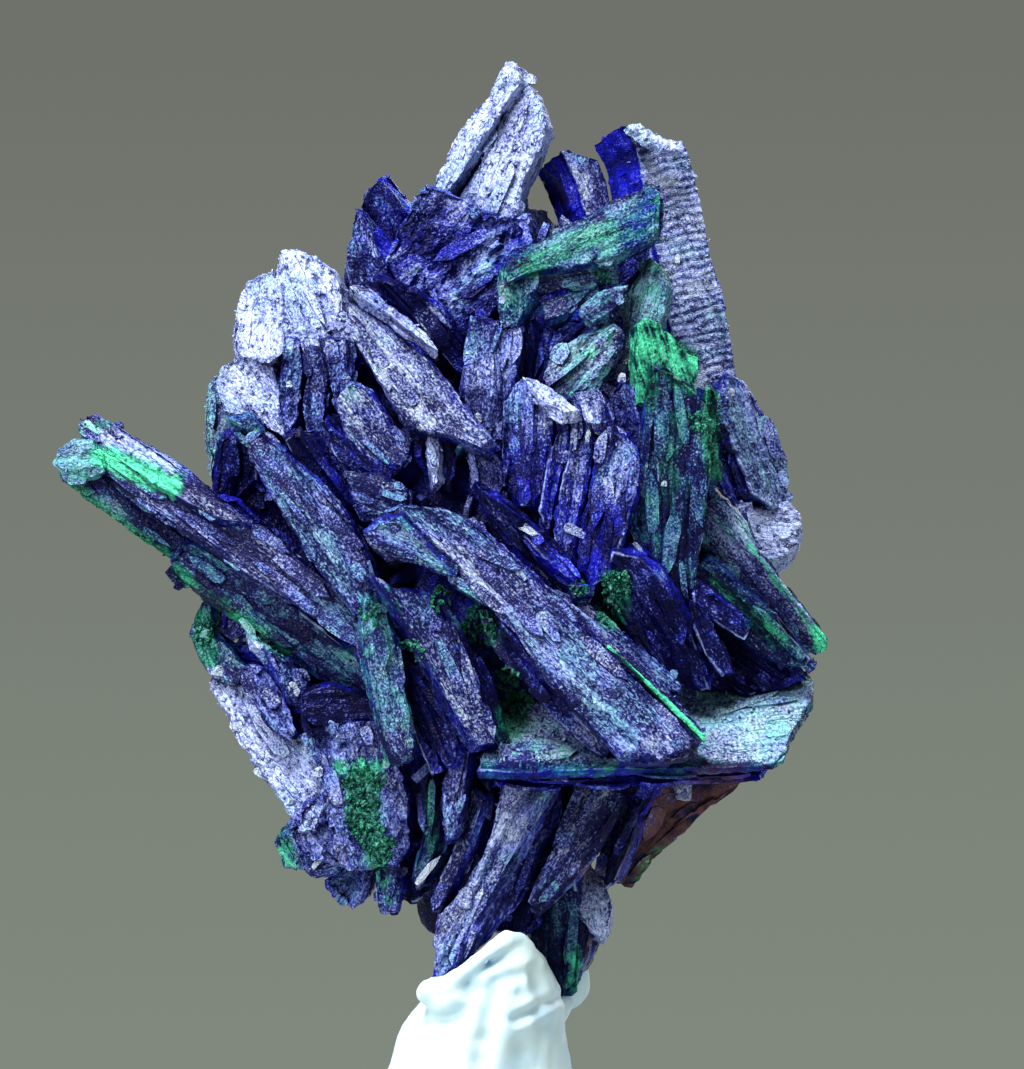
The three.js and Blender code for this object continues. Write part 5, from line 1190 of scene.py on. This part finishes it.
def crystalMaterial():
    material, net, shader = newMaterial("crystalSurface")
    place = net.add("ShaderNodeAttribute", attribute_name="bladePlace").outputs["Vector"]
    tint = net.add("ShaderNodeAttribute", attribute_name="tint")
    marks = net.add("ShaderNodeAttribute", attribute_name="marks")
    tints = net.add("ShaderNodeSeparateColor")
    net.feed(tint.outputs["Color"], tints.inputs[0])
    marked = net.add("ShaderNodeSeparateXYZ")
    net.feed(marks.outputs["Vector"], marked.inputs[0])
    frost, green, azure = tints.outputs[0], tints.outputs[1], tints.outputs[2]
    mint = tint.outputs["Alpha"]
    rim, rust, wall = marked.outputs[0], marked.outputs[1], marked.outputs[2]

    broad = net.noise(place, surface["broadSize"], 4)
    clump = net.noise(place, surface["clumpSize"], 3)
    alongBlade = net.stretched(place, (0.35, 3.4, 1.8))
    lines = net.noise(alongBlade, 1.2, 4)
    toneField = net.noise(place, 0.3, 2)
    openness = net.openness(2.2 * mm)
    # painted shade: how far the surface lies in a cleft
    cleftShade = net.ranged(openness, 0.25, 0.75, 1, 0)

    # the crust, thinner in cracks, and dimmed in clefts as painted shade
    crust = net.add("ShaderNodeGroup", node_tree=crustGroup())
    net.feed(place, crust.inputs["Place"])
    net.feed(surface["grainSize"], crust.inputs["Size"])
    cover = net.total(frost, net.centred(clump, 0.6), net.centred(broad, 1.3), net.centred(lines, 0.5))
    net.feed(cover, crust.inputs["Cover"])
    cracked = net.add("ShaderNodeTexVoronoi", feature="DISTANCE_TO_EDGE")
    net.feed(surface["crackSize"], cracked.inputs["Scale"])
    wobble = net.add("ShaderNodeTexNoise")
    net.feed(place, wobble.inputs["Vector"])
    net.feed(2.2, wobble.inputs["Scale"])
    bent = net.add("ShaderNodeVectorMath", operation="MULTIPLY_ADD")
    for socket, value in zip(bent.inputs, (wobble.outputs["Color"], (1.1, 0.6, 0.6), alongBlade)):
        net.feed(value, socket)
    net.feed(bent.outputs[0], cracked.inputs["Vector"])
    crack = net.ranged(cracked.outputs["Distance"], 0.006, 0.03, 1, 0)
    crack = net.times(crack, net.ranged(clump, 0.46, 0.58))
    relief = net.times(crust.outputs["Level"], net.ranged(crack, 0, 1, 1, 0.15))
    level = net.times(relief, net.ranged(cleftShade, 0, 1, 1, 0.2))

    # the bare crystal: deep to bright blue, green stain and rust
    # a little bluer in clefts, as painted bounce light
    azureLevel = net.total(net.times(azure, 0.55), net.centred(broad, 1.8), net.centred(clump, 1),
                           net.times(wall, 0.4), net.times(cleftShade, 0.1))
    greenLevel = net.total(net.times(green, 0.8), net.centred(broad, 1), net.centred(clump, 0.6))
    greenEdge = net.ranged(greenLevel, 0.2, 0.6)
    greenField = net.ranged(net.total(clump, net.centred(lines, 0.8)), 0.42, 0.66)
    rustLevel = net.times(rust, net.ranged(broad, 0.35, 0.55))
    body = net.mix(net.ranged(azureLevel, 0.1, 0.5), surface["deepBlue"], surface["navyBlue"])
    body = net.mix(net.ranged(azureLevel, 0.45, 1), body, surface["azureBlue"])
    body = net.mix(net.ranged(frost, 0.2, 0.8, 0, 0.75), body, surface["slateBlue"])
    body = net.mix(greenEdge, body, net.mix(greenField, surface["deepGreen"], surface["midGreen"]))
    body = net.mix(rustLevel, body, surface["rustBrown"])

    # the crust's colour, pale partly as painted glints off its facets, and the fringe between the two
    pale = net.mix(net.ranged(toneField, 0.48, 0.58), surface["frostGlintLavender"], surface["frostGlintWarm"])
    pale = net.mix(net.ranged(toneField, 0.4, 0.5, 1, 0), pale, surface["frostGlintGreen"])
    pale = net.mix(net.ranged(frost, 0.5, 0.9), pale, surface["frostGlintPale"])
    pale = net.mix(net.ranged(azure, 0.3, 0.34, 0.85, 0), pale, surface["frostGlintWarm"])
    pale = net.mix(net.times(greenEdge, 0.8), pale, surface["paleGreen"])
    pale = net.mix(rustLevel, pale, surface["frostGlintWarm"])
    fringe = net.mix(azureLevel, surface["navyBlue"], surface["glowBlue"])
    fringe = net.mix(net.ranged(frost, 0.4, 0.8), fringe, surface["duskBlue"])
    fringe = net.mix(greenEdge, fringe, surface["midGreen"])
    skin = net.mix(net.ranged(level, 0, 0.35), body, fringe)
    skin = net.mix(net.ranged(level, 0.2, 1), skin, pale)

    # painted highlights along the rims, mint patches, and painted shade in the clefts
    height = crust.outputs["Height"]
    paintedRimHighlightMask = net.times(net.ranged(rim, 0.72, 0.92), net.ranged(clump, 0.38, 0.56, 0.1, 0.85))
    paintedRimHighlightMask = net.times(paintedRimHighlightMask, net.ranged(height, 0.35, 0.6, 0.3, 1))
    skin = net.mix(paintedRimHighlightMask, skin, net.mix(greenEdge, surface["paintedRimHighlight"], surface["mintGreen"]))
    mintLevel = net.total(net.times(mint, 0.9), net.centred(lines, 1), net.centred(clump, 1))
    mintMask = net.times(net.ranged(mintLevel, 0.3, 0.8), net.ranged(height, 0.45, 0.85, 0.25, 1))
    skin = net.mix(mintMask, skin, surface["mintGreen"])
    # painted shade: clefts darken to deep blue
    skin = net.mix(net.ranged(openness, 0.05, 0.55, 0.8, 0), skin, surface["deepBlue"])

    net.feed(skin, shader.inputs["Base Color"])
    net.feed(net.ranged(level, 0, 1, 0.3, 0.55), shader.inputs["Roughness"])
    shader.inputs["Specular IOR Level"].default_value = 0.08
    heights = net.total(height, net.times(crack, -1.2), net.times(lines, 0.9), net.times(relief, 0.3))
    net.bump(heights, 0.8, 0.07 * mm, shader)
    return material


crystal = crystalMaterial()
for piece in pieces.values():
    piece.data.materials.append(crystal)
    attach(piece, "root")
    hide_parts("azurite_cluster")
    print("piece", piece.name, len(piece.data.polygons))

# The putty: rings of a leaning cone (height, half sizes, middle), a rolled lip that follows the
# crystals up the front, a round bead at the back of the root, and folds pressed by a thumb. In mm.
puttyForm = {
    "rings": [
        (0, (10.6, 8.6), (0, -1.4)), (0.5, (10.8, 8.8), (0, -1.4)), (1.3, (10.6, 8.6), (0, -1.4)),
        (2.4, (9.5, 7.9), (0, -1.7)), (3.8, (7.9, 6.9), (0, -2.2)), (6, (5.7, 5.8), (-0.1, -3)),
        (8, (4.65, 5.3), (0, -3.7)), (9.6, (4.2, 5.1), (0.15, -4.1)), (11, (3.7, 4.8), (0.5, -4.6)),
        (12.2, (3, 4.3), (0.9, -5)), (13.3, (2.1, 3.2), (1.35, -5.9)), (14, (1.3, 2.2), (1.6, -6.7)),
        (14.4, (0.6, 1.1), (1.7, -7.6)),
    ],
    "sides": 64,
    "lip": [(-2.7, -7.6, 11.75), (-2.3, -8.4, 11.9), (-1.7, -9, 12.15), (-0.9, -9.3, 12.8),
            (-0.1, -9.4, 13.45), (0.7, -9.2, 14.1), (1.4, -8.9, 14.55), (2, -8.4, 14.55),
            (2.5, -8, 14.05), (3, -7.5, 13.3)],
    "lipRadius": [0.42, 0.5, 0.34, 0.3, 0.3, 0.32, 0.34, 0.3, 0.26, 0.2],
    "swells": [  # the bead behind the root, its neck, and the swells below the lip: middle, half sizes
        ((4.5, -0.6, 12.25), (1.1, 1, 1.5)), ((3, -1.6, 11), (1.7, 1.6, 1.2)),
        ((-1.2, -7.4, 11.6), (1.5, 1.9, 1.3)), ((0.6, -7.6, 12.5), (1.9, 1.8, 1.1)),
    ],
    "folds": [  # start, end, half width and depth of each pressed groove, on the front face
        ((0.3, 9.6), (0.8, 12.3), 0.4, 0.24), ((0.9, 12.5), (2, 12.7), 0.3, 0.18),
        ((1.7, 10.5), (3.9, 11.5), 0.26, 0.26), ((-0.4, 7), (0.2, 9.4), 0.5, 0.3),
        ((2.4, 4.5), (2, 9), 0.6, 0.24), ((-2.5, 5.5), (-1, 8.6), 0.5, 0.2),
        ((-3.2, 10), (-0.6, 10.9), 0.3, 0.16), ((2.6, 12.9), (3.1, 11.6), 0.3, 0.24),
    ],
    "voxel": 0.16,
    "white": (0.62, 0.79, 0.8, 1), "cool": (0.5, 0.71, 0.83, 1),
    "smear": (0.5, 0.74, 0.88, 1), "hollowShade": (0.3, 0.54, 0.74, 1),
}


def bridgedRings(bm, rings):
    # rings of points, each given as its middle, its two half axes as vectors
    loops = []
    for middle, first, second in rings:
        made = bmesh.ops.create_circle(bm, cap_ends=False, segments=puttyForm["sides"], radius=1)
        normal = first.cross(second).normalized()
        bmesh.ops.transform(bm, verts=made["verts"], matrix=frameOf(first, second, normal, middle))
        around = dict.fromkeys(edge for vert in made["verts"] for edge in vert.link_edges)
        loops.append(list(around))
    for low, high in zip(loops, loops[1:]):
        bmesh.ops.bridge_loops(bm, edges=low + high)
    bmesh.ops.holes_fill(bm, edges=loops[0], sides=0)
    bmesh.ops.holes_fill(bm, edges=loops[-1], sides=0)


def puttyRough():
    bm = bmesh.new()
    bridgedRings(bm, [(Vector((*middle, z)), Vector((half[0], 0, 0)), Vector((0, half[1], 0)))
                      for z, half, middle in puttyForm["rings"]])
    path = [Vector(point) for point in puttyForm["lip"]]
    rings = []
    for i, (point, radius) in enumerate(zip(path, puttyForm["lipRadius"])):
        along = (path[min(i + 1, len(path) - 1)] - path[max(i - 1, 0)]).normalized()
        first = along.cross(Vector((0, -1, 0))).normalized()
        rings.append((point, first * radius * 1.25, along.cross(first) * radius))
    bridgedRings(bm, rings)
    for middle, half in puttyForm["swells"]:
        made = bmesh.ops.create_icosphere(bm, subdivisions=4, radius=1)
        place = Matrix.Translation(middle) @ Matrix.Diagonal((*half, 1))
        bmesh.ops.transform(bm, verts=made["verts"], matrix=place)
    for middle, radius in ((path[0], 0.62), (path[-1], 0.35)):
        bmesh.ops.create_icosphere(bm, subdivisions=3, radius=radius, matrix=Matrix.Translation(middle))
    bmesh.ops.recalc_face_normals(bm, faces=bm.faces)
    return bm


def smoothOver(bm, rounds):
    for i in range(rounds):
        bmesh.ops.smooth_vert(bm, verts=bm.verts, factor=0.5, use_axis_x=True, use_axis_y=True,
                              use_axis_z=True)


def foldLift(x, z):
    # how far the pressed grooves sink the front at this place, with the putty raised beside each
    lift = 0
    for (x0, z0), (x1, z1), width, depth in puttyForm["folds"]:
        run = Vector((x1 - x0, z1 - z0))
        spot = Vector((x - x0, z - z0))
        t = min(max((spot @ run) / run.length_squared, 0), 1)
        away = (spot - run * t).length / width
        groove = 0.5 * math.exp(-(away - 1.7) ** 2) - math.exp(-away * away)
        lift += depth * groove * (0.35 + 0.65 * math.sin(math.pi * min(max(t, 0.12), 0.88)))
    return lift


def puttyPiece():
    rough = joinForms("puttyRough", [puttyRough()])
    del trees["puttyRough"]
    remesh = rough.modifiers.new("fuse", "REMESH")
    remesh.mode = "VOXEL"
    remesh.voxel_size = puttyForm["voxel"] * mm
    shape = rough.evaluated_get(bpy.context.evaluated_depsgraph_get())
    bm = bmesh.new()
    bm.from_mesh(shape.to_mesh())
    bpy.data.objects.remove(rough)
    bmesh.ops.scale(bm, verts=bm.verts, vec=(1 / mm, 1 / mm, 1 / mm))
    smoothOver(bm, 4)
    bm.normal_update()
    moves = []
    for vert in bm.verts:
        x, y, z = vert.co
        lift = 0.16 * noise.noise(vert.co * 0.42) + 0.07 * noise.noise(vert.co * 1.1)
        lift += 0.02 * noise.noise(vert.co * 3.4)
        swirl = Vector((x * 0.9 + 0.5 * noise.noise(vert.co * 0.6), y * 0.5, z * 0.3))
        lift += 0.09 * noise.noise(swirl * 1.6)
        if y < -3:
            lift += foldLift(x, z)
        moves.append(vert.normal * lift * min(z / 1.2, 1))
    for vert, move in zip(bm.verts, moves):
        vert.co += move
    smoothOver(bm, 2)
    for vert in bm.verts:
        if vert.co.z < 0.14:
            vert.co.z = 0
    for face in bm.faces:
        face.smooth = True
    return joinForms("displayPutty", [bm])


def puttyMaterial():
    material, net, shader = newMaterial("whitePutty")
    place = net.add("ShaderNodeTexCoord").outputs["Object"]
    broad = net.noise(place, 260, 3)
    smears = net.noise(net.stretched(place, (1.4, 1, 0.35)), 1500, 4)
    fine = net.noise(place, 7000, 2)
    tone = net.mix(net.ranged(broad, 0.42, 0.62), puttyForm["white"], puttyForm["cool"])
    tone = net.mix(net.ranged(smears, 0.5, 0.72, 0, 0.5), tone, puttyForm["smear"])
    # painted shade: the putty's hollows and folds turn a darker blue
    tone = net.mix(net.ranged(net.openness(1.6 * mm), 0.35, 0.95, 0.9, 0), tone, puttyForm["hollowShade"])
    net.feed(tone, shader.inputs["Base Color"])
    net.feed(net.ranged(smears, 0.3, 0.7, 0.38, 0.55), shader.inputs["Roughness"])
    shader.inputs["Specular IOR Level"].default_value = 0.4
    net.bump(net.total(smears, net.times(fine, 0.25)), 0.35, 0.06 * mm, shader)
    return material


putty = puttyPiece()
putty.data.materials.append(puttyMaterial())
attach(putty, "root")
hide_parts("display_putty")
print("stage: putty shaped,", len(putty.data.polygons), "faces")

# Stage, light and camera. Each lamp: name, place, width and height, power and colour, in metres.
studio = {
    "pixelSize": 0.05, "imageHeight": 1069, "lens": 1150, "sensor": 36, "aim": (1.6, -7, 34.7),
    "backdrop": (0.188, 0.205, 0.174, 1), "ambient": 0.22,
    "backdropHigh": (0.16, 0.168, 0.149, 1), "backdropLow": (0.22, 0.252, 0.208, 1),
    "paleFloor": (0.3, 0.31, 0.29, 1), "floorRadius": 0.45,
    "lamps": [
        ("overhead", (-0.12, -0.2, 0.48), (0.26, 0.2), 6.4, (1, 1, 1)),
        ("frontLeft", (-0.42, -0.5, 0.34), (0.2, 0.2), 4.4, (0.98, 0.99, 1)),
        ("rightFill", (0.5, -0.4, 0.1), (0.3, 0.3), 0.8, (0.92, 0.95, 1)),
        ("behind", (0.3, 0.5, 0.32), (0.3, 0.3), 2.6, (0.96, 0.98, 1)),
    ],
}
aim = Vector(studio["aim"]) * mm
for name, place, size, power, colour in studio["lamps"]:
    lamp = bpy.data.lights.new(name, "AREA")
    lamp.shape = "RECTANGLE"
    lamp.size, lamp.size_y = size
    lamp.energy = power
    lamp.color = colour
    holder = addObject(name, lamp)
    holder.location = place
    holder.rotation_euler = (aim - Vector(place)).to_track_quat("-Z", "Y").to_euler()

# the camera sees a soft grey backdrop, a little lighter below, and the lighting a plain one
world = bpy.data.worlds.new("studio")
world.use_nodes = True
bpy.context.scene.world = world
net = Wiring(world.node_tree)
background = world.node_tree.nodes["Background"]
net.feed(studio["ambient"], background.inputs["Strength"])
net.feed(studio["backdrop"], background.inputs["Color"])
seen = net.add("ShaderNodeBackground")
upward = net.add("ShaderNodeSeparateXYZ")
net.feed(net.add("ShaderNodeTexCoord").outputs["Generated"], upward.inputs[0])
rise = net.ranged(upward.outputs[2], -0.016, 0.014)
net.feed(net.mix(rise, studio["backdropLow"], studio["backdropHigh"]), seen.inputs["Color"])
either = net.add("ShaderNodeMixShader")
ray = net.add("ShaderNodeLightPath").outputs["Is Camera Ray"]
for socket, value in zip(either.inputs, (ray, background.outputs[0], seen.outputs[0])):
    net.feed(value, socket)
net.feed(either.outputs[0], world.node_tree.nodes["World Output"].inputs[0])

floorMesh = bpy.data.meshes.new("floor")
floorForm = bmesh.new()
bmesh.ops.create_circle(floorForm, cap_ends=True, segments=96, radius=studio["floorRadius"])
floorForm.to_mesh(floorMesh)
floor = addObject("floor", floorMesh)
floorMaterial, floorNet, floorShader = newMaterial("paleFloor")
floorNet.feed(studio["paleFloor"], floorShader.inputs["Base Color"])
floorMesh.materials.append(floorMaterial)

camera = addObject("camera", bpy.data.cameras.new("camera"))
camera.data.lens = studio["lens"]
camera.data.sensor_width = studio["sensor"]
camera.data.clip_end = 20
viewHeight = studio["imageHeight"] * studio["pixelSize"] * mm
distance = viewHeight * studio["lens"] / studio["sensor"]
camera.location = aim - Vector((0, distance, 0))
camera.rotation_euler = (math.radians(90), 0, 0)
bpy.context.scene.camera = camera
bpy.context.scene.view_settings.view_transform = "Standard"
